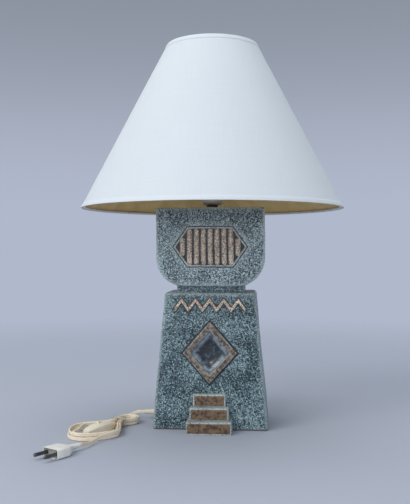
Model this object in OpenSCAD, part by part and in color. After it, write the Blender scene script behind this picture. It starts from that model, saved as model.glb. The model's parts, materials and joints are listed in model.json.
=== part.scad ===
// Table lamp: hollow two-tier stoneware base, conical fabric shade, screw bulb,
// twin flex with an in-line slide switch and a two-pin plug. Millimetres, +Z up, front at -Y.

/* [Stoneware body] */
// Height of the body from foot to top
body_h = 330; // [310:1:350]
// Width of the lower block at the foot
foot_w = 173; // [155:1:185]
// Width of the lower block at its shoulder
shoulder_w = 135; // [125:1:150]
// Height of the shoulder above the foot
shoulder_h = 203; // [190:1:215]
// Depth of the lower block
lower_d = 100; // [90:1:115]
// Chamfer round the shoulder
shoulder_bevel = 4; // [3:0.5:9]
// Width of the neck between the blocks
neck_w = 101; // [80:1:110]
// Depth of the neck
neck_d = 76; // [60:1:86]
// Height of the neck
neck_h = 9; // [6:1:14]
// Width of the upper block
head_w = 162; // [140:1:175]
// Depth of the upper block
head_d = 90; // [80:1:105]
// Radius of the lower corners of the upper block
head_r = 42; // [35:1:52]
// Thickness of the stoneware wall
wall = 8; // [6:0.5:10]
// Rounding of the block edges
edge_r = 4; // [2:0.5:6]
// Height of the bare foot under the glaze
foot_h = 1.5; // [1:0.5:3]
// Inset of the bare foot from the glazed sides
foot_inset = 1.5; // [1:0.5:3]

/* [Relief] */
// Width of the reeded panel on the upper block
panel_w = 114; // [90:1:120]
// Height of the reeded panel
panel_h = 62; // [46:1:66]
// Length of each pointed end of the panel
panel_point = 22; // [12:1:26]
// Depth of the panel below the face
panel_depth = 2.5; // [1.5:0.5:3.5]
// Number of reeds on the panel
reed_count = 11; // [7:1:15]
// Radius of a reed
reed_r = 3.4; // [2:0.2:3.8]
// Width of the zigzag band
zigzag_w = 104; // [90:1:110]
// Rise of each zigzag tooth
zigzag_rise = 14; // [8:1:16]
// Height of the zigzag stroke
zigzag_stroke = 7; // [5:0.5:9]
// Number of zigzag teeth
zigzag_teeth = 5; // [3:1:7]
// Height of the foot of the zigzag band
zigzag_z = 174; // [168:1:176]
// Half width of the lozenge boss
lozenge_w = 40; // [34:1:46]
// Half height of the lozenge boss
lozenge_h = 46; // [38:1:48]
// Height of the centre of the lozenge boss
lozenge_z = 114; // [108:1:118]
// Width of the lozenge rim
lozenge_rim = 9; // [6:0.5:11]
// Depth of the lozenge dish below the face
dish_depth = 3; // [2:0.5:4]
// How far the zigzag and the lozenge stand proud
relief_proud = 4; // [2:0.5:6]
// Width of the lowest plinth step
plinth_w = 66; // [56:1:76]
// Width lost at each plinth step
plinth_narrowing = 9; // [4:1:12]
// Tread of each plinth step
plinth_tread = 10; // [7:0.5:11]
// Rise of each plinth step
plinth_rise = 18; // [14:1:20]
// Number of plinth steps
plinth_steps = 3; // [2:1:3]

/* [Neck fitting] */
// Diameter of the bung in the top of the body
bung_d = 25; // [22:0.5:30]
// Length of the bung
bung_h = 22; // [16:1:28]
// Outside diameter of the threaded tube
tube_d = 10; // [9:0.5:11]
// Bore of the threaded tube
tube_bore = 7; // [6.4:0.2:7.4]
// Diameter of the plate on top of the body
plate_d = 32; // [28:1:36]
// Thickness of the plate and of the washer
plate_t = 1.5; // [1:0.25:2.5]
// Width of the hexagon nuts across their corners
nut_d = 17; // [15:0.5:20]
// Height of the hexagon nuts
nut_h = 4.5; // [3.5:0.5:6]

/* [Lampholder] */
// Diameter of the holder cap
cap_d = 34; // [33:0.5:36]
// Height of the holder cap
cap_h = 18; // [16:1:22]
// Rounding of the lower edge of the cap
cap_round = 4; // [2:0.5:6]
// Wall of the cap
cap_wall = 1.8; // [1.4:0.1:2.2]
// Thickness of the insulating insert
insert_h = 11; // [9:0.5:13]
// Height of the holder skirt above the cap
skirt_h = 36; // [33:1:42]
// Height of the skirt collar above the cap
collar_z = 10; // [8:0.5:12]
// Diameter of the skirt collar
collar_d = 45; // [43:0.5:50]
// Thickness of the skirt collar
collar_t = 3; // [2:0.5:4]
// Outside diameter of the threaded part of the skirt
thread_d = 39.2; // [38:0.2:40.4]
// Bore of the screw shell
shell_bore = 27; // [26.8:0.1:27.4]
// Wall of the screw shell
shell_wall = 0.7; // [0.5:0.1:0.9]
// Height of the screw shell
shell_h = 23; // [20:1:26]
// Diameter of the shade ring nut
ring_d = 52; // [49:0.5:55]
// Height of the shade ring nut
ring_h = 6; // [5:0.5:8]

/* [Bulb] */
// Diameter of the bulb glass
bulb_d = 60; // [50:1:64]
// Diameter of the bulb cap
bulb_cap_d = 26.2; // [25.8:0.1:26.4]
// Height of the bulb cap
bulb_cap_h = 21; // [19:1:23]
// Height of the centre of the glass above the bulb contact
bulb_centre = 68; // [62:1:76]
// Thickness of the glass
glass_t = 0.9; // [0.7:0.1:1.2]

/* [Shade] */
// Lower diameter of the shade
shade_d = 400; // [360:5:430]
// Upper diameter of the shade
shade_top_d = 140; // [120:2:160]
// Height of the shade
shade_h = 250; // [230:2:270]
// Height of the lower rim above the body
shade_rise = 0; // [0:0.5:8]
// Thickness of the fabric cover
cover_t = 0.8; // [0.6:0.1:1.2]
// Thickness of the gold lining
lining_t = 0.6; // [0.4:0.1:1]
// Diameter of the shade wires
wire_d = 3.2; // [2.6:0.2:4]
// Height of the rolled hems
hem_h = 6; // [4:0.5:9]
// Thickness of the rolled hems
hem_t = 0.5; // [0.4:0.1:0.8]
// Drop of the shade fitter below the upper rim
fitter_drop = 48; // [40:1:60]
// Diameter of the gallery collar that the fitter drops over
gallery_d = 28; // [24:0.5:32]
// Height of the gallery collar
gallery_h = 8; // [6:0.5:12]
// Width of the flat fitter and gallery rings
fitter_band = 6; // [5:0.5:8]
// Thickness of the flat rings
fitter_t = 1.6; // [1.2:0.2:2.4]

/* [Flex] */
// Width of the twin flex
flex_w = 5; // [4.6:0.1:5.4]
// Thickness of the twin flex
flex_t = 2.6; // [2.4:0.1:2.8]
// Height of the flex outlet
outlet_z = 12; // [11:0.5:16]
// Distance of the flex outlet behind the middle
outlet_y = 15; // [5:1:25]
// Length of the tapered strain relief
relief_l = 20; // [20:1:30]
// Direction in which the hank points
lay_angle = 244; // [238:1:250]
// Length of the front lobe of the hank
front_lobe = 101; // [99:1:106]
// Length of the rear lobe of the hank
rear_lobe = 40; // [36:1:46]
// Step between neighbouring loops
loop_step = 3.3; // [3.2:0.1:3.6]
// Clear height between the two layers
layer_gap = 0.8; // [0.5:0.05:1]
// Width of the tie round the hank
tie_w = 4; // [3:0.5:4.5]
// Thickness of the tie
tie_t = 0.7; // [0.5:0.1:0.9]

/* [Switch] */
// Length of the in-line switch
switch_l = 62; // [59:0.5:63]
// Width of the switch
switch_w = 21; // [19:0.5:24]
// Height of the switch
switch_h = 15; // [14:0.5:17]
// Height of the joint between its two shells
switch_split = 7; // [6:0.5:8]
// How much the ends are narrower and lower than the middle
switch_taper = 5; // [3:0.5:5.5]
// Wall of the switch shells
switch_wall = 2; // [1.6:0.1:2.4]
// Travel of the slider
slider_travel = 6; // [4:0.5:7]
// Length of the slider button
button_l = 5.4; // [4.5:0.1:6.5]
// Width of the slider button
button_w = 4.4; // [3.6:0.1:5.5]
// Height of the button above the switch
button_h = 2.2; // [1.5:0.1:3]

/* [Plug] */
// Direction in which the plug points
plug_angle = 238; // [230:1:246]
// Length of the plug body
plug_l = 30; // [29:0.5:35]
// Width of the plug body
plug_w = 28; // [28:0.5:32]
// Height of the plug body
plug_h = 13.5; // [12.5:0.5:15]
// Wall round the plug insert
plug_wall = 1.3; // [1.1:0.1:1.4]
// Depth of the recess in front of the insert
plug_recess = 3; // [2:0.5:4]
// Diameter of a plug pin
pin_d = 4.8; // [4:0.1:4.8]
// Length of a plug pin in front of the body
pin_l = 19; // [17:0.5:20]
// Spacing of the plug pins
pin_pitch = 19; // [18:0.1:19.2]

/* [Hidden] */
$fn = 64;

// Clearances: sliding and threaded fits, dropped-in pieces, and glued or resting layers
fit = 0.1;
loose = 0.3;
glue = 0.05;
// Overlap that joins two shapes of one piece
weld = 0.5;

// Colours of the photographed surfaces
glaze = [0.38, 0.47, 0.50];
brass = [0.72, 0.58, 0.30];
steel = [0.70, 0.70, 0.68];
cream = [0.88, 0.82, 0.70];
white = [0.93, 0.93, 0.91];
rubber = [0.13, 0.12, 0.11];

// Heights of the stack, from the foot up
head_z = shoulder_h + neck_h;
head_corner = min(head_r, (body_h - head_z) / 2 - edge_r);
plate_z = body_h;
nut_z = plate_z + plate_t;
holder_z = nut_z + nut_h;
cap_top = holder_z + cap_h;
cap_floor = 2.5;
insert_z = cap_top - 5;
insert_top = insert_z + insert_h;
collar_low = cap_top + collar_z;
collar_top = collar_low + collar_t;
skirt_top = cap_top + skirt_h;
carrier_z = collar_top;
ring_z = carrier_z + fitter_t;
shade_z = body_h + shade_rise;
shade_top = shade_z + shade_h;
gallery_z = shade_top - fitter_drop;

// Side of the lower block and the seat of the flex outlet
side_lean = (foot_w - shoulder_w) / 2 / shoulder_h;
function side_x(z) = foot_w / 2 - z * side_lean;
flange_r = 7.5;
flange_t = 3;
outlet_r = 5.5;
seat_x = side_x(outlet_z) - 1;
tip_x = seat_x + flange_t + relief_l;

// Bores and shafts that fit one another
tube_r = tube_d / 2;
spigot_h = 4;
spigot_wall = 1.1;
cap_inner = cap_d / 2 - cap_wall;
skirt_bore = cap_inner - fit - spigot_wall;
shell_r = shell_bore / 2 + shell_wall;
insert_r = skirt_bore - 2 * fit;
terminal_x = 8;
terminal_r = 1.5;
tube_top = holder_z + cap_h / 2;
tube_low = plate_z - bung_h - plate_t - nut_h - 2;

// Centre contact and bulb stack
leaf_h = 4.6;
leaf_t = 0.6;
bulb_z = insert_top + leaf_h + fit;
contact_h = 1.5;
insulator_h = 3.8;
bulb_cap_z = bulb_z + contact_h + insulator_h;
bulb_r = bulb_d / 2;
bulb_mid = bulb_z + bulb_centre;
glass_neck_r = bulb_cap_d / 2 - 0.8;
glass_low = bulb_cap_z + 8;
neck_top = bulb_cap_z + bulb_cap_h + 3;
filament_r = 9;
filament_wire = 0.35;
filament_z = bulb_mid - 2;

// Shade cone: outer radius at a height, and slant corrections
cone_slope = (shade_d - shade_top_d) / 2 / shade_h;
slant = sqrt(1 + cone_slope * cone_slope);
cover_run = cover_t * slant;
lining_run = (lining_t + glue) * slant;
wire_r = wire_d / 2;
function cone_r(z) = shade_d / 2 - (z - shade_z) * cone_slope;
function wire_ring_r(z) = cone_r(z) - cover_run - lining_run - (wire_r + glue) * slant;
low_wire_z = shade_z + wire_r + glue;
top_wire_z = shade_top - wire_r - glue;
fitter_z = gallery_z + fitter_t + glue;
fitter_in = gallery_d / 2 + loose;
arm_x = bulb_r + 12;

// Flex sections, wide way upright: six sides for loops, eight for single runs
flex_six = [
    [0, -flex_w / 2], [flex_t / 2, -flex_w / 4], [flex_t / 2, flex_w / 4],
    [0, flex_w / 2], [-flex_t / 2, flex_w / 4], [-flex_t / 2, -flex_w / 4]
];
flex_eight = [
    [flex_t / 4, -flex_w / 2], [flex_t / 2, -flex_w / 4], [flex_t / 2, flex_w / 4],
    [flex_t / 4, flex_w / 2], [-flex_t / 4, flex_w / 2], [-flex_t / 2, flex_w / 4],
    [-flex_t / 2, -flex_w / 4], [-flex_t / 4, -flex_w / 2]
];

// Place and lay of the hank, with its waist under the tie
tie_x = -139;
tie_y = -36;
along = [cos(lay_angle), sin(lay_angle)];
across = [-along.y, along.x];
function lay(u, v, z) = [tie_x + u * along.x + v * across.x, tie_y + u * along.y + v * across.y, z];

// Hank outline: reach to either side at the waist and in each lobe
waist_reach = 9.2;
front_reach = 42;
front_swell = 0.6;
rear_reach = 34;
hank_mid = (front_lobe - rear_lobe) / 2;
hank_half = (front_lobe + rear_lobe) / 2;
layer_one = flex_w / 2;
layer_two = layer_one + flex_w + layer_gap;
tie_low = tie_t + glue;
tie_lift = tie_low + 0.55;
tie_spread = 16;
function ease(x) = let (t = max(0, min(1, x))) t * t * (3 - 2 * t);
function reach(u) = u < 0
    ? waist_reach + (rear_reach - waist_reach) * ease(-u / rear_lobe)
    : waist_reach + (front_reach - waist_reach) * ease(u / (front_swell * front_lobe));
function lift(u) = tie_lift * (1 - ease(abs(u) / tie_spread));
function outline(q, side) =
    let (u = hank_mid - hank_half * cos(q)) [u, side * sin(q) * reach(u)];
function inset_outline(q, side, inset) =
    let (t = unit(outline(q + 0.5, side) - outline(q - 0.5, side)))
    outline(q, side) + inset * side * [t.y, -t.x];
function loop_point(q, side, inset, z) =
    let (p = inset_outline(q, side, inset)) lay(p.x, p.y, z + lift(p.x));

// Loops: the lower layer spirals in from the lamp, the upper one spirals out to the plug
rings_per_loop = 36;
ring_turn = 360 / rings_per_loop;
lower_start = 50;
lower_end = 780;
upper_start = 265;
upper_end = 835;
switch_u = 15;
flex_entry_z = 5;
lower_loops = [for (q = [lower_start : ring_turn : lower_end])
    loop_point(q, -1, loop_step * (q - lower_start) / 360, layer_one)];
upper_loops = [for (q = [upper_start : ring_turn : upper_end])
    loop_point(q, 1, loop_step * (upper_end - q) / 360, layer_two)];
function level(v) = unit([v.x, v.y, 0]);
function before(path) = path[0] - flex_w * level(path[1] - path[0]);
function after(path) =
    let (n = len(path) - 1) path[n] + flex_w * level(path[n] - path[n - 1]);
lower_path = concat(
    [before(lower_loops)], lower_loops,
    [lay(switch_u - flex_w, 0, flex_entry_z), lay(switch_u - glue, 0, flex_entry_z)]
);
switch_far = switch_u + switch_l;
turn_out = switch_far + flex_t;
turn_r = 9;
merge_pull = 10;
merge_z = (flex_entry_z + layer_two) / 2;
turn_arc = [for (a = [0 : 20 : 180]) lay(turn_out + turn_r * sin(a), turn_r * (cos(a) - 1),
    flex_entry_z + (merge_z - flex_entry_z) * ease(a / 180))];
merge_points = [for (t = [0.2 : 0.2 : 0.85]) bezier(
    lay(turn_out, -2 * turn_r, merge_z),
    lay(turn_out - merge_pull, -2 * turn_r, merge_z),
    upper_loops[0] - merge_pull * unit(upper_loops[1] - upper_loops[0]),
    upper_loops[0], t)];
upper_path = concat(
    [lay(switch_far + glue, 0, flex_entry_z)], turn_arc, merge_points, upper_loops,
    [after(upper_loops)]
);

// Routes of the single runs, chosen by eye
lamp_lead_route = [
    [-tip_x - flex_w, outlet_y, outlet_z], [-119, 15.2, 11], [-126, 14.6, 8.6],
    [-133, 11.5, 6], [-138.5, 5.5, 4.2]
];
plug_x = -175.5;
plug_y = -191;
plug_way = [cos(plug_angle), sin(plug_angle)];
plug_lead_route = [[-145, -126, 7.2], [-150.5, -138, 5], [-155, -150, 4], [-158.5, -160, 5]];
plug_relief_l = 20;
inner_route = [
    [-70, 15, 12], [-50, 14, 15], [-28, 9, 34], [-10, 3, 74], [0, 0, 125], [0, 0, 210]
];
function behind_plug(u) = [plug_x - u * plug_way.x, plug_y - u * plug_way.y, plug_h / 2];
lower_way = unit(lower_path[1] - lower_path[0]);
upper_last = len(upper_path) - 1;
upper_way = unit(upper_path[upper_last] - upper_path[upper_last - 1]);
lamp_lead_path = concat(
    [[-tip_x - glue, outlet_y, outlet_z]],
    smooth_path(concat(lamp_lead_route, [lower_path[0] - flex_w * lower_way]), 2),
    [lower_path[0] - glue * lower_way]
);
plug_lead_path = concat(
    [upper_path[upper_last] + glue * upper_way],
    smooth_path(concat([upper_path[upper_last] + flex_w * upper_way], plug_lead_route,
        [behind_plug(plug_relief_l + flex_w)]), 2),
    [behind_plug(plug_relief_l + glue)]
);
inner_path = smooth_path(concat(
    [[glue - tip_x, outlet_y, outlet_z], [-seat_x, outlet_y, outlet_z]], inner_route,
    [[0, 0, tube_low], [0, 0, insert_z - fit]]), 3);

// Switch and plug details
switch_mid = switch_l / 2;
bow_r = (switch_mid * switch_mid + switch_taper * switch_taper) / (2 * switch_taper);
cavity_l = 32;
cavity_w = 12;
cavity_z = 2.4;
slot_l = button_l + slider_travel + 2 * fit;
slide_rest = slider_travel / 2;
slide_seat = switch_h - switch_wall;
flange_l = button_l + 8;
bridge_l = 12;
bridge_t = 0.8;
slider_t = 1.6;
bridge_z = slide_seat - fit - slider_t - bridge_t;
post_places = [-2, 7.5];
screw_places = [[9, 4.4], [switch_l - 9, -4.4]];
screw_r = 1.4;
pocket_l = 19;
pocket_round = 4;
pin_root = 14;
collar_more = 0.2;

function unit(v) = v / norm(v);
function bezier(a, b, c, d, t) =
    let (s = 1 - t) s * s * s * a + 3 * s * s * t * b + 3 * s * t * t * c + t * t * t * d;

// A smooth run through the given points, with n steps to each span
function spline_at(a, b, c, d, t) = 0.5 * (2 * b + (c - a) * t
    + (2 * a - 5 * b + 4 * c - d) * t * t + (3 * b - a - 3 * c + d) * t * t * t);
function smooth_path(p, n) = let (m = len(p) - 1) concat(
    [for (i = [0 : m - 1], j = [0 : n - 1])
        spline_at(p[max(i - 1, 0)], p[i], p[i + 1], p[min(i + 2, m)], j / n)],
    [p[m]]);

// Least gap between strands, from each point to every run that is not its own neighbour
function strand_gap(p, a, b) =
    let (
        d = [b.x - a.x, b.y - a.y],
        e = [p.x - a.x, p.y - a.y],
        t = max(0, min(1, (e * d) / (d * d))),
        flat = norm(e - t * d) - flex_t,
        rise = abs(p.z - a.z - t * (b.z - a.z)) - flex_w
    ) max(flat, rise);
function least_gap(p, r, skip) = min([for (i = [0 : len(p) - 1], j = [0 : len(r) - 2])
    if (skip == 0 || abs(i - j) > skip) strand_gap(p[i], r[j], r[j + 1])]);
function path_length(p) = len(p) < 2 ? 0 : [for (i = [1 : len(p) - 1]) norm(p[i] - p[i - 1])]
    * [for (i = [1 : len(p) - 1]) 1];
union() {
    echo(lower_loops_gap = least_gap(lower_path, lower_path, 5));
    echo(upper_loops_gap = least_gap(upper_path, upper_path, 5));
    echo(layers_gap = least_gap(upper_path, lower_path, 0));
    echo(plug_lead_gap = least_gap(plug_lead_path, lower_path, 0));
    echo(lamp_side_length = path_length(lamp_lead_path) + path_length(lower_path));
    echo(plug_side_length = path_length(upper_path) + path_length(plug_lead_path));
}

// A tube of one section along a path; the section's second axis leans to the given way
module sweep(path, section, way) {
    n = len(section);
    last = len(path) - 1;
    rings = [for (i = [0 : last])
        let (
            t = unit(path[min(i + 1, last)] - path[max(i - 1, 0)]),
            s = unit(cross(t, way)),
            w = cross(s, t)
        ) for (p = section) path[i] + p.x * s + p.y * w];
    walls = [for (i = [0 : last - 1], k = [0 : n - 1])
        let (a = i * n + k, b = i * n + (k + 1) % n)
        each [[a, b, b + n], [a, b + n, a + n]]];
    start = [for (k = [1 : n - 2]) [0, k + 1, k]];
    end = [for (k = [1 : n - 2]) [last * n, last * n + k, last * n + k + 1]];
    polyhedron(rings, concat(walls, start, end), convexity = 10);
}

module rod(a, b, r) {
    d = b - a;
    translate(a) rotate([0, acos(d.z / norm(d)), atan2(d.y, d.x)]) cylinder(r = r, h = norm(d));
}

module ring(outer, inner, h) {
    difference() {
        cylinder(r = outer, h = h);
        translate([0, 0, -1]) cylinder(r = inner, h = h + 2);
    }
}

module wire_ring(r, z) {
    translate([0, 0, z]) rotate_extrude() translate([r, 0]) circle(wire_r, $fn = 24);
}

module rounded(w, d, r) {
    square([w - 2 * r, d], center = true);
    square([w, d - 2 * r], center = true);
    for (x = [-1, 1], y = [-1, 1]) translate([x * (w / 2 - r), y * (d / 2 - r)]) circle(r, $fn = 32);
}

module slab(w, d, r, z, t) {
    translate([0, 0, z]) linear_extrude(t) rounded(w, d, r);
}

// Outline drawn on the front of a block: proud of it, and rooted some way into it
module on_front(d, z, proud, root) {
    translate([0, root - d / 2, z]) rotate([90, 0, 0]) linear_extrude(proud + root) children();
}

module lower_block(grow) {
    r = max(edge_r + grow, 1);
    low = foot_h - (grow < 0 ? grow : 0);
    top = shoulder_h + grow;
    bevel = shoulder_bevel;
    hull() {
        slab(2 * (side_x(low) + grow), lower_d + 2 * grow, r, low, weld);
        slab(2 * (side_x(top - bevel) + grow), lower_d + 2 * grow, r, top - bevel - weld, weld);
        slab(2 * (side_x(top) + grow - bevel), lower_d + 2 * (grow - bevel), r, top - weld, weld);
    }
}

module head_block(grow) {
    r = max(edge_r + grow, 1);
    big = head_corner + grow;
    middle = head_z + head_corner;
    top = body_h + grow;
    hull() {
        slab(head_w + 2 * grow - r, head_d + 2 * grow - r, r, top - weld, weld);
        slab(head_w + 2 * grow, head_d + 2 * grow, r, middle, top - middle - r);
        for (x = [-1, 1]) translate([x * (head_w / 2 - head_corner), 0, middle]) rotate([90, 0, 0]) {
            cylinder(r = big, h = head_d + 2 * (grow - r), center = true);
            cylinder(r = big - r, h = head_d + 2 * grow, center = true);
        }
    }
}

module panel_outline() {
    flat = panel_w / 2 - panel_point;
    polygon([
        [-panel_w / 2, 0], [-flat, panel_h / 2], [flat, panel_h / 2],
        [panel_w / 2, 0], [flat, -panel_h / 2], [-flat, -panel_h / 2]
    ]);
}

module zigzag_outline() {
    pitch = zigzag_w / zigzag_teeth / 2;
    crest = [for (i = [0 : 2 * zigzag_teeth])
        [i * pitch - zigzag_w / 2, zigzag_stroke + (i % 2) * zigzag_rise]];
    foot = [for (i = [2 * zigzag_teeth : -1 : 0])
        [i * pitch - zigzag_w / 2, (i % 2) * zigzag_rise]];
    polygon(concat(crest, foot));
}

module lozenge(inset) {
    share = 1 - inset * norm([lozenge_w, lozenge_h]) / (lozenge_w * lozenge_h);
    polygon([[lozenge_w, 0], [0, lozenge_h], [-lozenge_w, 0], [0, -lozenge_h]] * share);
}

module plinth() {
    for (i = [0 : plinth_steps - 1]) {
        depth = plinth_tread * (plinth_steps - i);
        width = plinth_w - i * plinth_narrowing;
        translate([-width / 2, -lower_d / 2 - depth, i * plinth_rise])
            cube([width, depth + wall / 2, plinth_rise + (i < plinth_steps - 1 ? weld : 0)]);
    }
}

module reeds() {
    pitch = panel_w / reed_count;
    intersection() {
        on_front(head_d, (head_z + body_h) / 2, 0, panel_depth + weld) panel_outline();
        for (i = [0 : reed_count - 1])
            translate([(i + 0.5) * pitch - panel_w / 2, panel_depth - head_d / 2, head_z])
                cylinder(r = reed_r, h = body_h - head_z, $fn = 32);
    }
}

module stoneware_body() {
    color(glaze) difference() {
        union() {
            difference() {
                union() {
                    slab(foot_w - 2 * foot_inset, lower_d - 2 * foot_inset, edge_r, 0, foot_h + weld);
                    lower_block(0);
                    slab(neck_w, neck_d, edge_r, shoulder_h - wall, neck_h + 2 * wall);
                    head_block(0);
                }
                on_front(head_d, (head_z + body_h) / 2, 1, panel_depth) panel_outline();
            }
            reeds();
            on_front(lower_d, zigzag_z, relief_proud, wall / 2) zigzag_outline();
            on_front(lower_d, lozenge_z, relief_proud, wall / 2) lozenge(0);
            plinth();
        }
        on_front(lower_d, lozenge_z, relief_proud + 1, dish_depth) lozenge(lozenge_rim);
        lower_block(-wall);
        slab(neck_w - 2 * wall, neck_d - 2 * wall, edge_r, shoulder_h - 2 * wall, neck_h + 4 * wall);
        head_block(-wall);
        translate([0, 0, body_h - 2 * wall]) cylinder(d = bung_d + 2 * fit, h = 3 * wall);
        translate([-seat_x - 2 * flange_t, outlet_y, outlet_z]) rotate([0, 90, 0]) {
            cylinder(r = flange_r + loose, h = 2 * flange_t);
            cylinder(r = outlet_r, h = 2 * flange_t + 2 * wall);
        }
    }
}

module cord_grommet() {
    bore = flex_w / 2 + loose;
    color(cream) translate([-seat_x, outlet_y, outlet_z]) rotate([0, -90, 0]) difference() {
        union() {
            translate([0, 0, -wall]) cylinder(r = outlet_r - fit, h = wall + weld);
            cylinder(r = flange_r, h = flange_t);
            translate([0, 0, flange_t]) cylinder(r1 = bore + 1.6, r2 = bore + 0.6, h = relief_l);
        }
        translate([0, 0, -2 * wall]) cylinder(r = bore, h = 4 * wall + relief_l);
    }
}

module inner_flex() {
    color(cream) sweep(inner_path, flex_eight, [0, 1, 0]);
}

module threaded_tube() {
    color(brass) translate([0, 0, tube_low]) ring(tube_r, tube_bore / 2, tube_top - tube_low);
}

module neck_bung() {
    color(rubber) translate([0, 0, plate_z - bung_h]) ring(bung_d / 2, tube_r + fit, bung_h);
}

module bung_washer() {
    color(steel) translate([0, 0, plate_z - bung_h - plate_t])
        ring(bung_d / 2 - 1, tube_r + fit, plate_t);
}

module hexagon_nut(z) {
    translate([0, 0, z]) difference() {
        cylinder(d = nut_d, h = nut_h, $fn = 6);
        translate([0, 0, -1]) cylinder(r = tube_r + fit, h = nut_h + 2);
    }
}

module bung_nut() {
    color(steel) hexagon_nut(plate_z - bung_h - plate_t - nut_h);
}

module top_plate() {
    color(brass) translate([0, 0, plate_z]) ring(plate_d / 2, tube_r + fit, plate_t);
}

module top_nut() {
    color(brass) hexagon_nut(nut_z);
}

module holder_cap() {
    r = cap_d / 2;
    boss_r = tube_r + 3.5;
    color(white) translate([0, 0, holder_z]) difference() {
        union() {
            difference() {
                rotate_extrude() {
                    translate([0, cap_round]) square([r, cap_h - cap_round]);
                    square([r - cap_round, cap_h]);
                    intersection() {
                        translate([r - cap_round, cap_round]) circle(cap_round);
                        square([r, cap_h]);
                    }
                }
                translate([0, 0, max(cap_floor, cap_round)]) cylinder(r = cap_inner, h = cap_h);
                translate([0, 0, cap_floor]) cylinder(r = cap_inner - cap_round, h = cap_h);
            }
            cylinder(r = boss_r, h = tube_top - holder_z);
        }
        translate([0, 0, -1]) cylinder(r = tube_r + fit, h = cap_h);
    }
}

module holder_insert() {
    color(white) translate([0, 0, insert_z]) difference() {
        cylinder(r = insert_r, h = insert_h);
        for (x = [-1, 1]) translate([x * terminal_x, 0, -1]) cylinder(r = terminal_r + fit, h = insert_h - 2);
    }
}

module terminal_screws() {
    head_h = 1.8;
    color(brass) for (x = [-1, 1]) translate([x * terminal_x, 0, insert_z - head_h]) {
        cylinder(r = terminal_r + 1.1, h = head_h);
        cylinder(r = terminal_r, h = head_h + insert_h - 4);
    }
}

module holder_skirt() {
    color(white) difference() {
        union() {
            translate([0, 0, cap_top - spigot_h]) cylinder(r = cap_inner - fit, h = spigot_h + weld);
            translate([0, 0, cap_top]) cylinder(d = cap_d, h = collar_z + weld);
            translate([0, 0, collar_low]) cylinder(d = collar_d, h = collar_t);
            translate([0, 0, collar_low]) cylinder(d = thread_d, h = skirt_top - collar_low);
        }
        translate([0, 0, cap_top - spigot_h - 1]) cylinder(r = skirt_bore, h = insert_top - cap_top + spigot_h + 1);
        translate([0, 0, insert_top - 1]) cylinder(r = shell_r + loose, h = skirt_h + spigot_h);
    }
}

module screw_shell() {
    color(brass) translate([0, 0, insert_top]) difference() {
        cylinder(r = shell_r, h = shell_h);
        translate([0, 0, shell_wall]) cylinder(d = shell_bore, h = shell_h);
        translate([0, 0, -1]) cylinder(r = shell_bore / 2 - 6, h = shell_h);
    }
}

module centre_contact() {
    half = shell_bore / 2 - 7;
    color(brass) translate([0, 3, insert_top]) rotate([90, 0, 0]) linear_extrude(6) polygon([
        [-half, 0], [0, 0], [0, leaf_t], [leaf_t - half, leaf_t], [half - 3, leaf_h - leaf_t],
        [half, leaf_h - leaf_t], [half, leaf_h], [half - 3.5, leaf_h], [-half, leaf_t]
    ]);
}

module shade_carrier() {
    rise = gallery_z - carrier_z;
    foot_x = ring_d / 2 + wire_r + 1;
    top_x = gallery_d / 2;
    arm = [
        [foot_x, 0, carrier_z + fitter_t / 2], [foot_x + 1, 0, carrier_z + 0.05 * rise],
        [arm_x - 4, 0, carrier_z + 0.15 * rise], [arm_x, 0, carrier_z + 0.3 * rise],
        [arm_x, 0, carrier_z + 0.6 * rise], [arm_x - 7, 0, carrier_z + 0.8 * rise],
        [top_x + 6, 0, carrier_z + 0.95 * rise], [top_x, 0, gallery_z + fitter_t / 4]
    ];
    round_wire = [for (k = [0 : 7]) wire_r * [cos(45 * k), sin(45 * k)]];
    color(brass) {
        translate([0, 0, carrier_z]) ring(foot_x + wire_r + 1, thread_d / 2 + loose, fitter_t);
        for (turn = [0, 180]) rotate([0, 0, turn]) sweep(smooth_path(arm, 3), round_wire, [0, 1, 0]);
        translate([0, 0, gallery_z])
            ring(gallery_d / 2 + fitter_band, gallery_d / 2 - 4, fitter_t);
        translate([0, 0, gallery_z]) ring(gallery_d / 2, gallery_d / 2 - 4, gallery_h);
    }
}

module shade_ring() {
    grips = 18;
    color(white) translate([0, 0, ring_z]) difference() {
        ring(ring_d / 2, thread_d / 2 + fit, ring_h);
        for (i = [0 : grips - 1]) rotate([0, 0, i * 360 / grips])
            translate([ring_d / 2 + 1, 0, -1]) cylinder(r = 2, h = ring_h + 2, $fn = 24);
    }
}

module bulb_cap() {
    color(steel) translate([0, 0, bulb_cap_z]) difference() {
        cylinder(d = bulb_cap_d, h = bulb_cap_h);
        translate([0, 0, glass_t]) cylinder(r = glass_neck_r + loose, h = bulb_cap_h);
    }
}

module bulb_insulator() {
    color(rubber) translate([0, 0, bulb_z + contact_h])
        cylinder(r1 = 5, r2 = bulb_cap_d / 2 - 1.5, h = insulator_h);
}

module bulb_contact() {
    color(steel) translate([0, 0, bulb_z]) cylinder(r = 4.5, h = contact_h);
}

// Half profile of the bulb glass, drawn in by the given inset
function glass_profile(inset) =
    let (
        r = bulb_r - inset,
        n = glass_neck_r - inset,
        low = -50,
        join = [r * cos(low), bulb_mid + r * sin(low)],
        lean = [-sin(low), cos(low)],
        pull = (join.y - neck_top) * 0.4
    ) concat(
        [[n, glass_low]],
        [for (t = [0 : 0.1 : 0.95])
            bezier([n, neck_top], [n, neck_top + pull], join - pull * lean, join, t)],
        [for (q = [low : 10 : 90]) [r * cos(q), bulb_mid + r * sin(q)]]
    );

module bulb_glass() {
    inner = glass_profile(glass_t);
    last = len(inner) - 1;
    color([0.9, 0.92, 0.92, 0.6]) rotate_extrude() polygon(concat(
        glass_profile(0), [for (i = [last : -1 : 0]) inner[i]]));
}

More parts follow.
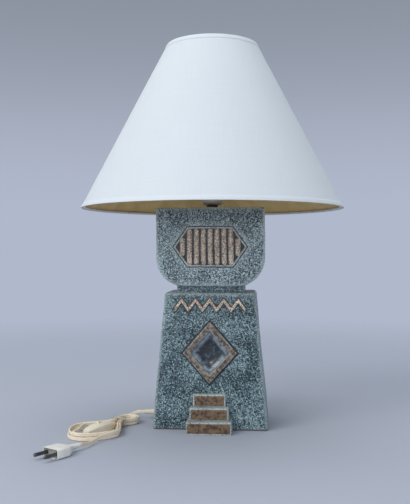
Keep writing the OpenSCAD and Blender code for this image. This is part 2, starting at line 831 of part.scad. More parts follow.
module bulb_mount() {
    flare_h = 10;
    stem_r = 4;
    stem_top = filament_z - 16;
    color([0.85, 0.88, 0.88]) {
        translate([0, 0, glass_low])
            cylinder(r1 = glass_neck_r - glass_t - fit, r2 = stem_r, h = flare_h);
        translate([0, 0, glass_low]) cylinder(r = stem_r, h = stem_top - glass_low);
        for (x = [-1, 1]) rod([x * 2.5, 0, stem_top - 1],
            [x * filament_r, 0, filament_z - filament_wire - glue], filament_wire);
    }
}

module bulb_filament() {
    color(steel) translate([0, 0, filament_z]) rotate_extrude(angle = 180)
        translate([filament_r, 0]) circle(filament_wire, $fn = 16);
}

// Flat fitter ring with three arms that run up to the wire ring in the upper rim
module shade_spider() {
    inner_end = [fitter_in + fitter_band - wire_r, 0, fitter_z + wire_r];
    wire_centre = [wire_ring_r(top_wire_z), 0, top_wire_z];
    outer_end = wire_centre - (wire_r + glue) * unit(wire_centre - inner_end);
    color(steel) {
        translate([0, 0, fitter_z]) ring(fitter_in + fitter_band, fitter_in, fitter_t);
        for (turn = [90, 210, 330]) rotate([0, 0, turn]) rod(inner_end, outer_end, wire_r);
    }
}

module shade_top_ring() {
    color(steel) wire_ring(wire_ring_r(top_wire_z), top_wire_z);
}

module shade_bottom_ring() {
    color(steel) wire_ring(wire_ring_r(low_wire_z), low_wire_z);
}

// A conical layer between two inward runs from the outer cone
module cone_layer(from, to, low, high) {
    rotate_extrude($fn = 128) polygon([
        [cone_r(low) - from, low], [cone_r(high) - from, high],
        [cone_r(high) - to, high], [cone_r(low) - to, low]
    ]);
}

module shade_cover() {
    color(white) cone_layer(0, cover_run, shade_z, shade_top);
}

module shade_lining() {
    color([0.53, 0.46, 0.31])
        cone_layer(cover_run + glue * slant, cover_run + lining_run, shade_z, shade_top);
}

// A rolled hem: a band outside the cover, turned in over the rim
module rolled_hem(rim, inner) {
    out = hem_t * slant;
    lay_off = glue * slant;
    fold = inner - rim;
    turned = rim - sign(fold) * hem_t;
    over = rim - sign(fold) * glue;
    inward = cone_r(rim) - cover_run - lining_run;
    color(white) rotate_extrude($fn = 128) polygon([
        [cone_r(inner) + lay_off, inner], [cone_r(inner) + out, inner],
        [cone_r(rim) + out, turned], [inward, turned], [inward, over],
        [cone_r(rim) + lay_off, over]
    ]);
}

module shade_top_trim() {
    rolled_hem(shade_top, shade_top - hem_h);
}

module shade_bottom_trim() {
    rolled_hem(shade_z, shade_z + hem_h);
}

module cord_lamp_lead() {
    color(cream) sweep(lamp_lead_path, flex_eight, [0, 0, 1]);
}

module cord_hank_lower() {
    color(cream) sweep(lower_path, flex_six, [0, 0, 1]);
}

module cord_hank_upper() {
    color(cream) sweep(upper_path, flex_six, [0, 0, 1]);
}

module cord_plug_lead() {
    color(cream) sweep(plug_lead_path, flex_eight, [0, 0, 1]);
}

// Pieces that lie along the hank start from their own rear end on the table
module lie_at(x, y, angle = lay_angle) {
    translate([x, y, 0]) rotate([0, 0, angle]) children();
}

module hank_tie() {
    half = waist_reach + flex_t / 2 + loose;
    tall = tie_lift + layer_two + flex_w / 2 + loose - tie_low;
    color(steel) lie_at(tie_x, tie_y) translate([-tie_w / 2, 0, tie_low + tall / 2]) rotate([90, 0, 90])
        linear_extrude(tie_w) difference() {
            rounded(2 * (half + tie_t), tall + 2 * tie_t, 2);
            rounded(2 * half, tall, 2 - tie_t);
        }
}

module at_switch() {
    start = lay(switch_u, 0, 0);
    lie_at(start.x, start.y) children();
}

// Boat-shaped switch: bowed sides and a bowed top, cut square at both ends
module switch_form(low, high) {
    intersection() {
        translate([0, 0, low]) linear_extrude(high - low) intersection() {
            for_side(1);
            for_side(-1);
            translate([0, -switch_w]) square([switch_l, 2 * switch_w]);
        }
        translate([switch_mid, switch_w, switch_h - bow_r]) rotate([90, 0, 0])
            cylinder(r = bow_r, h = 2 * switch_w, $fn = 128);
    }
}

module for_side(way) {
    translate([switch_mid, way * (bow_r - switch_w / 2)]) circle(bow_r, $fn = 128);
}

module switch_hollow(low, high) {
    translate([switch_mid - cavity_l / 2, -cavity_w / 2, low]) cube([cavity_l, cavity_w, high - low]);
}

module switch_bores(low, high, r) {
    for (p = screw_places) translate([p.x, p.y, low]) cylinder(r = r, h = high - low, $fn = 24);
}

module switch_lower_shell() {
    color(cream) at_switch() difference() {
        switch_form(0, switch_split);
        switch_hollow(cavity_z, switch_split + 1);
        switch_bores(-1, switch_split + 1, screw_r + fit);
        switch_bores(-1, 2, 2 * screw_r);
    }
}

module switch_upper_shell() {
    color(cream) at_switch() difference() {
        switch_form(switch_split, switch_h);
        switch_hollow(switch_split - 1, slide_seat);
        translate([switch_mid - slot_l / 2, -button_w / 2 - fit, switch_split])
            cube([slot_l, button_w + 2 * fit, switch_h]);
        switch_bores(switch_split - 1, switch_split + 2, screw_r + fit);
    }
}

module switch_slider() {
    x = switch_mid + slide_rest;
    color(cream) at_switch() {
        translate([x - button_l / 2, -button_w / 2, slide_seat - fit - slider_t])
            cube([button_l, button_w, switch_wall + fit + slider_t + button_h]);
        translate([x - flange_l / 2, fit - cavity_w / 2, slide_seat - fit - slider_t])
            cube([flange_l, cavity_w - 2 * fit, slider_t]);
    }
}

module switch_bridge() {
    color(brass) at_switch() translate([switch_mid + slide_rest - bridge_l / 2, -2, bridge_z])
        cube([bridge_l, 4, bridge_t]);
}

module switch_contacts() {
    color(brass) at_switch() for (x = post_places)
        translate([switch_mid + x - 1.25, -3, cavity_z]) cube([2.5, 6, bridge_z - fit - cavity_z]);
}

module switch_screws() {
    color(steel) at_switch() {
        switch_bores(0.4, 1.9, 2 * screw_r - fit);
        switch_bores(1.8, switch_split + 1.8, screw_r);
    }
}

// Section of the plug at a distance from its rear end
module plug_slice(x, w, h, r, t) {
    translate([x, 0, plug_h / 2]) rotate([90, 0, 90]) linear_extrude(t) rounded(w, h, r);
}

module at_pins() {
    for (y = [-1, 1]) translate([0, y * pin_pitch / 2, plug_h / 2]) rotate([0, 90, 0]) children();
}

// Tapered sleeve behind the plug
module plug_relief() {
    color(white) lie_at(plug_x, plug_y, plug_angle) translate([-plug_relief_l, 0, plug_h / 2]) rotate([0, 90, 0])
        cylinder(r1 = flex_w / 2 + 0.6, r2 = plug_h / 3, h = plug_relief_l - glue);
}

module plug_shell() {
    color(white) lie_at(plug_x, plug_y, plug_angle) difference() {
        hull() {
            plug_slice(0, plug_w - 10, plug_h - 3.5, 3, 1);
            plug_slice(9, plug_w, plug_h, 3, plug_l - 9);
        }
        plug_slice(plug_l - pocket_l, plug_w - 2 * plug_wall, plug_h - 3, pocket_round, pocket_l + 1);
    }
}

module plug_insert() {
    color(rubber) lie_at(plug_x, plug_y, plug_angle) difference() {
        plug_slice(plug_l - pocket_l, plug_w - 2 * (plug_wall + glue), plug_h - 3 - 2 * glue,
            pocket_round, pocket_l - plug_recess);
        translate([plug_l - pin_root - fit, 0, 0]) at_pins()
            cylinder(r = pin_d / 2 + collar_more + glue, h = pin_root + 1);
    }
}

module plug_pins() {
    r = pin_d / 2;
    color(steel) lie_at(plug_x, plug_y, plug_angle) translate([plug_l - pin_root, 0, 0]) at_pins() {
        cylinder(r = r + collar_more, h = pin_root);
        cylinder(r = r, h = pin_root + pin_l - r);
        translate([0, 0, pin_root + pin_l - r]) sphere(r);
    }
}

stoneware_body();
cord_grommet();
inner_flex();
threaded_tube();
neck_bung();
bung_washer();
bung_nut();
top_plate();
top_nut();
holder_cap();
holder_insert();
terminal_screws();
holder_skirt();
screw_shell();
centre_contact();
shade_carrier();
shade_ring();
bulb_cap();
bulb_insulator();
bulb_contact();
bulb_glass();
bulb_mount();
bulb_filament();
shade_spider();
shade_top_ring();
shade_bottom_ring();
shade_cover();
shade_lining();
shade_top_trim();
shade_bottom_trim();
cord_lamp_lead();
cord_hank_lower();
hank_tie();
switch_lower_shell();
switch_upper_shell();
switch_slider();
switch_bridge();
switch_contacts();
switch_screws();
cord_hank_upper();
cord_plug_lead();
plug_relief();
plug_shell();
plug_insert();
plug_pins();
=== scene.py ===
"""Ceramic table lamp with a cone shade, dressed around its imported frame.

Sizes are in millimetres in the frame of the part, and each piece is scaled to metres when it is placed.
"""

import json
import logging
import math
from dataclasses import dataclass, field
from enum import Enum
from functools import cache
from typing import Callable, Iterable, Optional, Sequence

import bmesh
import bpy
from mathutils import Matrix, Vector, noise


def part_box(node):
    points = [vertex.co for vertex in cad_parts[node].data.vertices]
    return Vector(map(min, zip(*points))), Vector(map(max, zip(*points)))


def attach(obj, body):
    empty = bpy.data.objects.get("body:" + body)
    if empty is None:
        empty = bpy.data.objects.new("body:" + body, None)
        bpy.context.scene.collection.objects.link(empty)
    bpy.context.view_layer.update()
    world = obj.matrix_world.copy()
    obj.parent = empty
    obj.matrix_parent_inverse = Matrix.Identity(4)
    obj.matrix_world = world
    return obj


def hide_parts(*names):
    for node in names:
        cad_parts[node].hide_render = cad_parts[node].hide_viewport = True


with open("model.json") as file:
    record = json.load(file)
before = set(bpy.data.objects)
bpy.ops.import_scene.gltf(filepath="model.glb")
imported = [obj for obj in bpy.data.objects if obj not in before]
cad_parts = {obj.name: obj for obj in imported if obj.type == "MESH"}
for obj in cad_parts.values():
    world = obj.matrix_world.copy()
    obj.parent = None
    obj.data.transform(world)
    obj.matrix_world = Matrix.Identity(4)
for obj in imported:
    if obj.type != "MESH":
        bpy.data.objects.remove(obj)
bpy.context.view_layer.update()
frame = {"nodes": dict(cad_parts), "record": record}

LOG = logging.getLogger("lamp")
MM = 0.001
WELD = 0.0005
SNAP = 0.01
FINE_SNAP = 0.001
FLAT = 0.999
CLAY_SEED = 7
CREASE = 40.0
SOFT_CREASE = 50.0
SMOOTH_CREASE = 60.0
ACROSS = Vector((1, 0, 0))
DEEP = Vector((0, 1, 0))
UP = Vector((0, 0, 1))

Colour = tuple[float, float, float, float]
Point = tuple[float, float]
Place = tuple[float, float, float]
Route = tuple[Place, ...]
Mesh = bmesh.types.BMesh
Vert = bmesh.types.BMVert
Edge = bmesh.types.BMEdge
Face = bmesh.types.BMFace
Node = bpy.types.Node
Socket = bpy.types.NodeSocket
Group = bpy.types.NodeTree
Piece = bpy.types.Object


class Body(Enum):
    """Bodies of the frame that pieces ride on."""

    LAMP = "lamp"
    SHADE = "shade"
    BULB = "bulb"
    SLIDER = "slider"


class Slot(Enum):
    """Material slots of the record."""

    GLAZE = "glazed_stoneware"
    CREAM = "cream_plastic"
    FLEX = "cream_flex"
    BRASS = "brass"
    RUBBER = "black_rubber"
    ZINC = "zinc_steel"
    HOLDER = "holder_grey"
    PORCELAIN = "porcelain"
    BULB_SHELL = "bulb_shell"
    BLACK_GLASS = "black_glass"
    FROSTED = "frosted_glass"
    CLEAR = "clear_glass"
    TUNGSTEN = "tungsten"
    WIRE = "white_wire"
    FABRIC = "white_fabric"
    LINING = "gold_lining"
    TIE = "tie_grey"
    SLIDER = "slider_yellow"
    WHITE = "white_plastic"
    DARK = "dark_plastic"
    PIN = "pin_metal"


def paint(red: float, green: float, blue: float) -> Colour:
    """Turns display values from 0 to 255 into a linear colour.

    Args:
        red: red as it looks on a screen.
        green: green as it looks on a screen.
        blue: blue as it looks on a screen.

    Returns:
        The linear colour with full alpha.
    """
    def one(value: float) -> float:
        """Turns one display value into its linear share."""
        share = value / 255
        return share / 12.92 if share <= 0.04045 else ((share + 0.055) / 1.055) ** 2.4

    return (one(red), one(green), one(blue), 1.0)


class Sketch:
    """Adds nodes to a shader tree and joins them."""

    # Places of the colour sockets on a Mix node
    MIX_FIRST = 6
    MIX_SECOND = 7
    MIX_RESULT = 2

    def __init__(self, tree: Group) -> None:
        """Keeps the tree that nodes are added to."""
        self.tree = tree

    def add(self, kind: str, inputs: Optional[dict] = None, **settings: object) -> Node:
        """Adds one node.

        Args:
            kind: type name of the node.
            inputs: values or sockets by input name or number.
            **settings: properties of the node.

        Returns:
            The new node.
        """
        node = self.tree.nodes.new(kind)
        for key, value in settings.items():
            setattr(node, key, value)
        for key, value in (inputs or {}).items():
            self.feed(node, key, value)
        return node

    def feed(self, node: Node, key: object, value: object) -> None:
        """Sets an input to a value, or links a socket to it.

        Args:
            node: node that is fed.
            key: name or number of its input.
            value: plain value or an output socket.
        """
        if isinstance(value, Socket):
            self.tree.links.new(value, node.inputs[key])
        else:
            node.inputs[key].default_value = value

    def coords(self) -> Socket:
        """Returns the object's own coordinates."""
        return self.add("ShaderNodeTexCoord").outputs["Object"]

    def maths(self, operation: str, *values: object) -> Socket:
        """Returns the result of a maths node on up to three values."""
        return self.add("ShaderNodeMath", dict(enumerate(values)), operation=operation).outputs[0]

    def spread(self, value: Socket, low: float, high: float, to_low: float = 0.0,
               to_high: float = 1.0) -> Socket:
        """Maps a range of a value softly to another range.

        Args:
            value: socket that is mapped.
            low: start of its range.
            high: end of its range.
            to_low: result at the start.
            to_high: result at the end.

        Returns:
            The mapped socket.
        """
        ends = {"Value": value, "From Min": low, "From Max": high, "To Min": to_low, "To Max": to_high}
        return self.add("ShaderNodeMapRange", ends, interpolation_type="SMOOTHSTEP").outputs[0]

    def mix(self, share: Socket, first: object, second: object) -> Socket:
        """Returns a mix of two colours by a share."""
        inputs = {0: share, self.MIX_FIRST: first, self.MIX_SECOND: second}
        return self.add("ShaderNodeMix", inputs, data_type="RGBA").outputs[self.MIX_RESULT]

    def grain(self, scale: object, detail: float = 3.0, roughness: float = 0.6, distortion: float = 0.0,
              vector: Optional[Socket] = None) -> Socket:
        """Adds a noise texture on Object coordinates or on a vector.

        Args:
            scale: features to a metre.
            detail: layers of finer noise.
            roughness: weight of the finer layers.
            distortion: how far the noise warps itself.
            vector: coordinates other than the object's own.

        Returns:
            The noise value.
        """
        return self.add("ShaderNodeTexNoise", {
            "Vector": vector or self.coords(), "Scale": scale, "Detail": detail, "Roughness": roughness,
            "Distortion": distortion,
        }).outputs[0]

    def stretch(self, vector: Socket, scale: Place) -> Socket:
        """Returns coordinates that are scaled along each axis."""
        return self.add("ShaderNodeMapping", {"Vector": vector, "Scale": scale}).outputs[0]


class SurfaceGroup(Sketch):
    """Shared node group that puts out the colour, roughness and height of a surface."""

    def __init__(self, name: str, colours: Sequence[str], values: Sequence[str]) -> None:
        """Makes the group with its named sockets.

        Args:
            name: name of the group.
            colours: names of its colour inputs.
            values: names of its plain inputs.
        """
        super().__init__(bpy.data.node_groups.new(name, "ShaderNodeTree"))
        for way, kind, labels in (
            ("INPUT", "NodeSocketColor", colours),
            ("INPUT", "NodeSocketFloat", values),
            ("OUTPUT", "NodeSocketColor", ("Color",)),
            ("OUTPUT", "NodeSocketFloat", ("Roughness", "Height")),
        ):
            for label in labels:
                self.tree.interface.new_socket(label, in_out=way, socket_type=kind)
        self.given = self.add("NodeGroupInput").outputs

    def two_tone(self, share: Socket) -> Socket:
        """Returns the mix from the deep to the light colour."""
        return self.mix(share, self.given["Deep"], self.given["Light"])

    def between(self, share: Socket, start: str, end: str) -> Socket:
        """Returns the value at a share of the way between two inputs."""
        step = self.maths("SUBTRACT", self.given[end], self.given[start])
        return self.maths("MULTIPLY_ADD", share, step, self.given[start])

    def give(self, colour: Socket, roughness: Socket, height: Socket) -> Group:
        """Feeds the group's outputs and returns the group."""
        self.add("NodeGroupOutput", {"Color": colour, "Roughness": roughness, "Height": height})
        return self.tree


@cache
def speckle_group() -> Group:
    """Makes the worm-grained stoneware glaze.

    Returns:
        The group, which reads the edge_fade attribute for its paler edges, partly rubbed glaze and partly
        painted highlight.
    """
    s = SurfaceGroup("stoneware_speckle", ("Dark", "Mid", "Pale", "Edge"), ("Grain", "Cover", "Wear_And_Highlight"))
    spot = s.coords()
    warp = s.add("ShaderNodeTexNoise", {"Vector": spot, "Scale": 210.0, "Detail": 2.0}).outputs["Color"]
    bend = {0: warp, 1: (0.003, 0.003, 0.003), 2: spot}
    bent = s.add("ShaderNodeVectorMath", bend, operation="MULTIPLY_ADD").outputs[0]
    scale = s.given["Grain"]
    worms = s.grain(scale, 2.5, vector=bent)
    blots = s.grain(s.maths("MULTIPLY", scale, 0.42), 3.0, 0.6, 0.4, bent)
    clouds = s.grain(22.0, 3.0, 0.5)
    lift = s.maths("MULTIPLY_ADD", clouds, 0.26, -0.13)
    shade = s.maths("ADD", s.maths("MULTIPLY_ADD", blots, 0.30, -0.15), lift)
    level = s.maths("ADD", s.maths("ADD", worms, shade), s.given["Cover"])
    cells = s.add("ShaderNodeTexVoronoi", {"Vector": bent, "Scale": s.maths("MULTIPLY", scale, 0.55)})
    pits = s.spread(cells.outputs["Distance"], 0.10, 0.30)
    colour = s.mix(s.spread(level, 0.41, 0.52), s.given["Dark"], s.given["Mid"])
    colour = s.mix(s.spread(level, 0.53, 0.61), colour, s.given["Pale"])
    colour = s.mix(s.maths("MULTIPLY_ADD", pits, -0.6, 0.6), colour, s.given["Dark"])
    fade = s.add("ShaderNodeAttribute", attribute_name="edge_fade").outputs["Fac"]
    # Paler edges: rubbed glaze and painted highlight.
    worn_and_lit = s.maths("MULTIPLY", fade, s.spread(worms, 0.36, 0.56, 0.35, 1.0))
    colour = s.mix(s.maths("MULTIPLY", worn_and_lit, s.given["Wear_And_Highlight"]), colour, s.given["Edge"])
    height = s.maths("MULTIPLY", level, s.maths("MULTIPLY_ADD", pits, 0.5, 0.5))
    return s.give(colour, s.spread(level, 0.38, 0.66, 0.30, 0.56), height)


@cache
def mottle_group() -> Group:
    """Makes the slight unevenness of moulded, fired and coated surfaces.

    Returns:
        The group with its colour, roughness and height.
    """
    s = SurfaceGroup("mottle", ("Light", "Deep"), ("Scale", "Smooth", "Coarse"))
    broad = s.grain(s.given["Scale"], 3.0, 0.55, 0.3)
    fine = s.grain(s.maths("MULTIPLY", s.given["Scale"], 14.0), 2.0, 0.5)
    level = s.maths("ADD", s.maths("MULTIPLY", broad, 0.7), s.maths("MULTIPLY", fine, 0.3))
    share = s.spread(level, 0.36, 0.64)
    return s.give(s.two_tone(share), s.between(share, "Smooth", "Coarse"), fine)


@cache
def brushed_group() -> Group:
    """Makes turned or drawn metal with fine rings across its height.

    Returns:
        The group with its colour, roughness and height.
    """
    s = SurfaceGroup("turned_metal", ("Light", "Deep"), ("Rings", "Smooth", "Coarse"))
    rings = s.grain(s.given["Rings"], 2.0, 0.5, vector=s.stretch(s.coords(), (0.12, 0.12, 1.0)))
    stains = s.grain(45.0, 4.0)
    share = s.spread(s.maths("MULTIPLY_ADD", rings, 0.4, s.maths("MULTIPLY", stains, 0.6)), 0.36, 0.62)
    return s.give(s.two_tone(share), s.between(share, "Coarse", "Smooth"), rings)


@cache
def weave_group() -> Group:
    """Makes a plain weave on the flat layout of a cloth.

    Returns:
        The group with its colour, roughness and height.
    """
    s = SurfaceGroup("plain_weave", ("Light", "Deep"), ("Threads",))
    flat = s.add("ShaderNodeUVMap", uv_map="flat_cloth").outputs[0]
    parts = s.add("ShaderNodeSeparateXYZ", {0: flat})
    turn = s.maths("MULTIPLY", s.given["Threads"], math.pi)
    warp, weft = (s.maths("SINE", s.maths("MULTIPLY", parts.outputs[i], turn)) for i in (0, 1))
    over = s.maths("GREATER_THAN", s.maths("MULTIPLY", warp, weft), 0.0)
    warp_top = s.maths("MULTIPLY", s.maths("ABSOLUTE", warp), over)
    weft_top = s.maths("MULTIPLY", s.maths("ABSOLUTE", weft), s.maths("SUBTRACT", 1.0, over))
    height = s.maths("ADD", warp_top, weft_top)
    runs = (s.stretch(flat, scale) for scale in ((1.0, 0.06, 1.0), (0.06, 1.0, 1.0)))
    slubs = s.maths("ADD", *(s.grain(330.0, 2.0, 0.5, vector=run) for run in runs))
    haze = s.grain(9.0, 2.0, 0.5)
    tone = s.maths("ADD", s.maths("MULTIPLY", slubs, 0.35), s.maths("MULTIPLY", haze, 0.35))
    share = s.spread(s.maths("MULTIPLY_ADD", height, 0.22, tone), 0.38, 0.86)
    rough = s.spread(height, 0.0, 1.0, 0.92, 0.78)
    return s.give(s.two_tone(share), rough, s.maths("MULTIPLY_ADD", slubs, 0.4, height))


@dataclass(frozen=True)
class Finish:
    """A surface of the lamp and the record slot that it belongs to.

    The relief is the depth of its bump in metres, and bump the share of it that shows.
    """

    name: str
    slot: Slot
    relief: float = field(default=0.00012, kw_only=True)
    bump: float = field(default=0.35, kw_only=True)

    def group(self) -> Group:
        """Returns the shared group that draws the surface."""
        raise NotImplementedError

    def plain(self) -> dict[str, float]:
        """Returns the shader values that are the same all over."""
        raise NotImplementedError

    @cache
    def material(self) -> bpy.types.Material:
        """Makes the material once; the group's inputs take the finish's values of the same names.

        Returns:
            The finish's material.
        """
        made = bpy.data.materials.new(self.name)
        made.use_nodes = True
        sketch = Sketch(made.node_tree)
        surface = sketch.add("ShaderNodeGroup", node_tree=self.group())
        for socket in surface.inputs:
            socket.default_value = getattr(self, socket.name.lower())
        out = surface.outputs
        raised = sketch.add("ShaderNodeBump", {
            "Height": out["Height"], "Distance": self.relief, "Strength": self.bump,
        })
        shader = made.node_tree.nodes["Principled BSDF"]
        fed = {"Base Color": out["Color"], "Roughness": out["Roughness"], "Normal": raised.outputs[0]}
        for key, value in (fed | self.plain()).items():
            sketch.feed(shader, key, value)
        return made


@dataclass(frozen=True)
class GlazeFinish(Finish):
    """Speckled stoneware glaze with a thin glassy coat."""

    dark: Colour
    mid: Colour
    pale: Colour
    edge: Colour
    grain: float = 690.0
    cover: float = 0.0
    wear_and_highlight: float = 0.8
    coat: float = 0.12
    coat_rough: float = 0.22
    relief: float = field(default=0.0007, kw_only=True)
    bump: float = field(default=0.55, kw_only=True)

    def group(self) -> Group:
        """Returns the speckle."""
        return speckle_group()

    def plain(self) -> dict[str, float]:
        """Returns the values of the coat."""
        return {"Coat Weight": self.coat, "Coat Roughness": self.coat_rough}


@dataclass(frozen=True)
class MouldedFinish(Finish):
    """Plastic, rubber, fired, painted, foil or glass surface with a slight mottle."""

    light: Colour
    deep: Colour
    smooth: float
    coarse: float
    scale: float = 60.0
    metallic: float = 0.0
    through: float = 0.0

    def group(self) -> Group:
        """Returns the mottle."""
        return mottle_group()

    def plain(self) -> dict[str, float]:
        """Returns the shares of metal and of clear glass."""
        return {"Metallic": self.metallic, "Transmission Weight": self.through}


@dataclass(frozen=True)
class MetalFinish(Finish):
    """Turned, drawn or plated metal with its tool rings."""

    light: Colour
    deep: Colour
    smooth: float = 0.25
    coarse: float = 0.42
    rings: float = 2600.0
    relief: float = field(default=0.00005, kw_only=True)
    bump: float = field(default=0.3, kw_only=True)

    def group(self) -> Group:
        """Returns the turned metal."""
        return brushed_group()

    def plain(self) -> dict[str, float]:
        """Returns the share of metal."""
        return {"Metallic": 1.0}


@dataclass(frozen=True)
class ClothFinish(Finish):
    """Laminated lampshade cloth with a slight sheen."""

    light: Colour
    deep: Colour
    threads: float = 1250.0
    sheen: float = 0.12
    gloss: float = 0.25
    relief: float = field(default=0.00018, kw_only=True)
    bump: float = field(default=0.5, kw_only=True)

    def group(self) -> Group:
        """Returns the weave."""
        return weave_group()

    def plain(self) -> dict[str, float]:
        """Returns the sheen and the gloss."""
        return {"Sheen Weight": self.sheen, "Specular IOR Level": self.gloss}


GLAZE = GlazeFinish("speckled_glaze", Slot.GLAZE, paint(9, 24, 32), paint(95, 124, 133),
                    paint(172, 192, 195), paint(166, 183, 186), grain=650.0, cover=-0.026, wear_and_highlight=0.75)
# A paler copy of the body glaze for the upper block: painted light that offsets the shade's shadow on the
# head.
LIT_HEAD_GLAZE = GlazeFinish("lit_head_glaze", Slot.GLAZE, paint(11, 27, 35), paint(105, 131, 140),
                         paint(202, 218, 221), paint(190, 206, 210), grain=650.0, cover=-0.002, wear_and_highlight=0.9)
# Near-black glaze that paints shadow: the outlines round the relief and the ground of the panel.
PAINTED_SHADOW_GLAZE = GlazeFinish("painted_shadow_glaze", Slot.GLAZE, paint(14, 18, 22), paint(30, 36, 41),
                           paint(76, 84, 88), paint(48, 54, 58), cover=-0.05)
BUFF_GLAZE = GlazeFinish("buff_glaze", Slot.GLAZE, paint(84, 62, 52), paint(174, 153, 134),
                         paint(236, 224, 207), paint(226, 215, 200), cover=0.03, wear_and_highlight=0.3)
ASH_GLAZE = GlazeFinish("ash_glaze", Slot.GLAZE, paint(92, 100, 102), paint(150, 160, 162),
                        paint(196, 205, 204), paint(182, 189, 188), cover=0.03, wear_and_highlight=0.4)
BRONZE_GLAZE = GlazeFinish("bronze_glaze", Slot.GLAZE, paint(66, 49, 38), paint(102, 79, 60),
                           paint(120, 99, 70), paint(140, 120, 100), grain=220.0, cover=0.05, wear_and_highlight=0.5,
                           coat=0.2)
RIM_GLAZE = GlazeFinish("rim_glaze", Slot.GLAZE, paint(58, 50, 44), paint(102, 90, 80),
                        paint(136, 128, 118), paint(184, 178, 166), grain=260.0, cover=0.01, wear_and_highlight=0.5,
                        coat=0.5)
# Its edge colour is the painted highlight ring of the dish.
DEEP_GLAZE = GlazeFinish("deep_blue_glaze", Slot.GLAZE, paint(9, 13, 21), paint(20, 31, 45),
                         paint(50, 75, 95), paint(150, 170, 184), grain=170.0, cover=-0.03, wear_and_highlight=0.75,
                         coat=0.7)
BARE_CLAY = MouldedFinish("bare_clay", Slot.GLAZE, paint(122, 112, 102), paint(92, 82, 74), 0.8, 0.95, 240.0,
                          relief=0.0004)
CREAM = MouldedFinish("cream_moulding", Slot.CREAM, paint(238, 231, 213), paint(228, 219, 196), 0.3, 0.44)
FLEX = MouldedFinish("cream_flex_skin", Slot.FLEX, paint(242, 231, 209), paint(226, 205, 176),
                     0.38, 0.56, 22.0)
RUBBER = MouldedFinish("bung_rubber", Slot.RUBBER, paint(44, 43, 42), paint(26, 25, 25), 0.65, 0.85)
HOLDER = MouldedFinish("holder_moulding", Slot.HOLDER, paint(250, 250, 249), paint(242, 242, 240), 0.25, 0.38)
PORCELAIN = MouldedFinish("fired_porcelain", Slot.PORCELAIN, paint(236, 232, 222), paint(222, 216, 204),
                          0.5, 0.7)
WIRE = MouldedFinish("coated_wire", Slot.WIRE, paint(222, 222, 218), paint(204, 204, 199), 0.35, 0.5)
TIE = MouldedFinish("tie_coating", Slot.TIE, paint(198, 194, 186), paint(172, 168, 160), 0.4, 0.58)
NUB = MouldedFinish("slider_moulding", Slot.SLIDER, paint(240, 228, 190), paint(226, 210, 164), 0.3, 0.45)
WHITE = MouldedFinish("white_moulding", Slot.WHITE, paint(232, 231, 225), paint(219, 217, 209), 0.32, 0.46)
DARK = MouldedFinish("dark_moulding", Slot.DARK, paint(172, 171, 166), paint(146, 145, 140), 0.5, 0.66)
LINING = MouldedFinish("gold_foil", Slot.LINING, paint(234, 204, 142), paint(214, 182, 120), 0.42, 0.62, 38.0,
                       metallic=0.35, relief=0.0003, bump=0.4)
GLASS = {"scale": 90.0, "relief": 0.00004, "bump": 0.2}
BLACK_GLASS = MouldedFinish("insulator_glass", Slot.BLACK_GLASS, paint(24, 24, 26), paint(14, 14, 16),
                            0.08, 0.18, **GLASS)
FROSTED = MouldedFinish("frosted_bulb", Slot.FROSTED, paint(246, 246, 243), paint(238, 238, 234),
                        0.35, 0.5, through=0.2, **GLASS)
CLEAR = MouldedFinish("stem_glass", Slot.CLEAR, paint(232, 238, 238), paint(224, 230, 230),
                      0.04, 0.1, through=0.9, **GLASS)
BRASS = MetalFinish("turned_brass", Slot.BRASS, paint(200, 170, 108), paint(156, 126, 72))
# Dark brass for the plate, nut and tube under the holder's cap: painted shade where the cap shadows them.
SHADOWED_BRASS = MetalFinish("shadowed_brass", Slot.BRASS, paint(98, 88, 70), paint(66, 59, 50), 0.4, 0.6)
ZINC = MetalFinish("zinc_plate", Slot.ZINC, paint(196, 196, 194), paint(160, 160, 158))
BULB_SHELL = MetalFinish("rolled_shell", Slot.BULB_SHELL, paint(210, 210, 208), paint(178, 178, 176))
TUNGSTEN = MetalFinish("drawn_tungsten", Slot.TUNGSTEN, paint(120, 118, 116), paint(84, 82, 80))
PIN = MetalFinish("dull_nickel", Slot.PIN, paint(118, 120, 118), paint(80, 82, 80), 0.35, 0.5)
CLOTH = ClothFinish("shade_cloth", Slot.FABRIC, paint(214, 220, 225), paint(209, 215, 220))
HEM_CLOTH = ClothFinish("hem_cloth", Slot.FABRIC, paint(217, 223, 228), paint(212, 218, 223))
SHADOWED_NODES = ("top_plate", "top_nut", "threaded_tube")
FINISH_OF_SLOT = {f.slot.value: f for f in (
    GLAZE, CREAM, FLEX, BRASS, RUBBER, ZINC, HOLDER, PORCELAIN, BULB_SHELL, BLACK_GLASS, FROSTED, CLEAR,
    TUNGSTEN, WIRE, CLOTH, LINING, TIE, NUB, WHITE, DARK, PIN)}


def link_mesh(name: str, bm: Mesh, material: bpy.types.Material) -> Piece:
    """Turns a shape into an object of the scene.

    Args:
        name: name of the object.
        bm: its shape, which is freed.
        material: its material.

    Returns:
        The object.
    """
    mesh = bpy.data.meshes.new(name)
    bm.to_mesh(mesh)
    bm.free()
    mesh.materials.append(material)
    made = bpy.data.objects.new(name, mesh)
    bpy.context.scene.collection.objects.link(made)
    return made


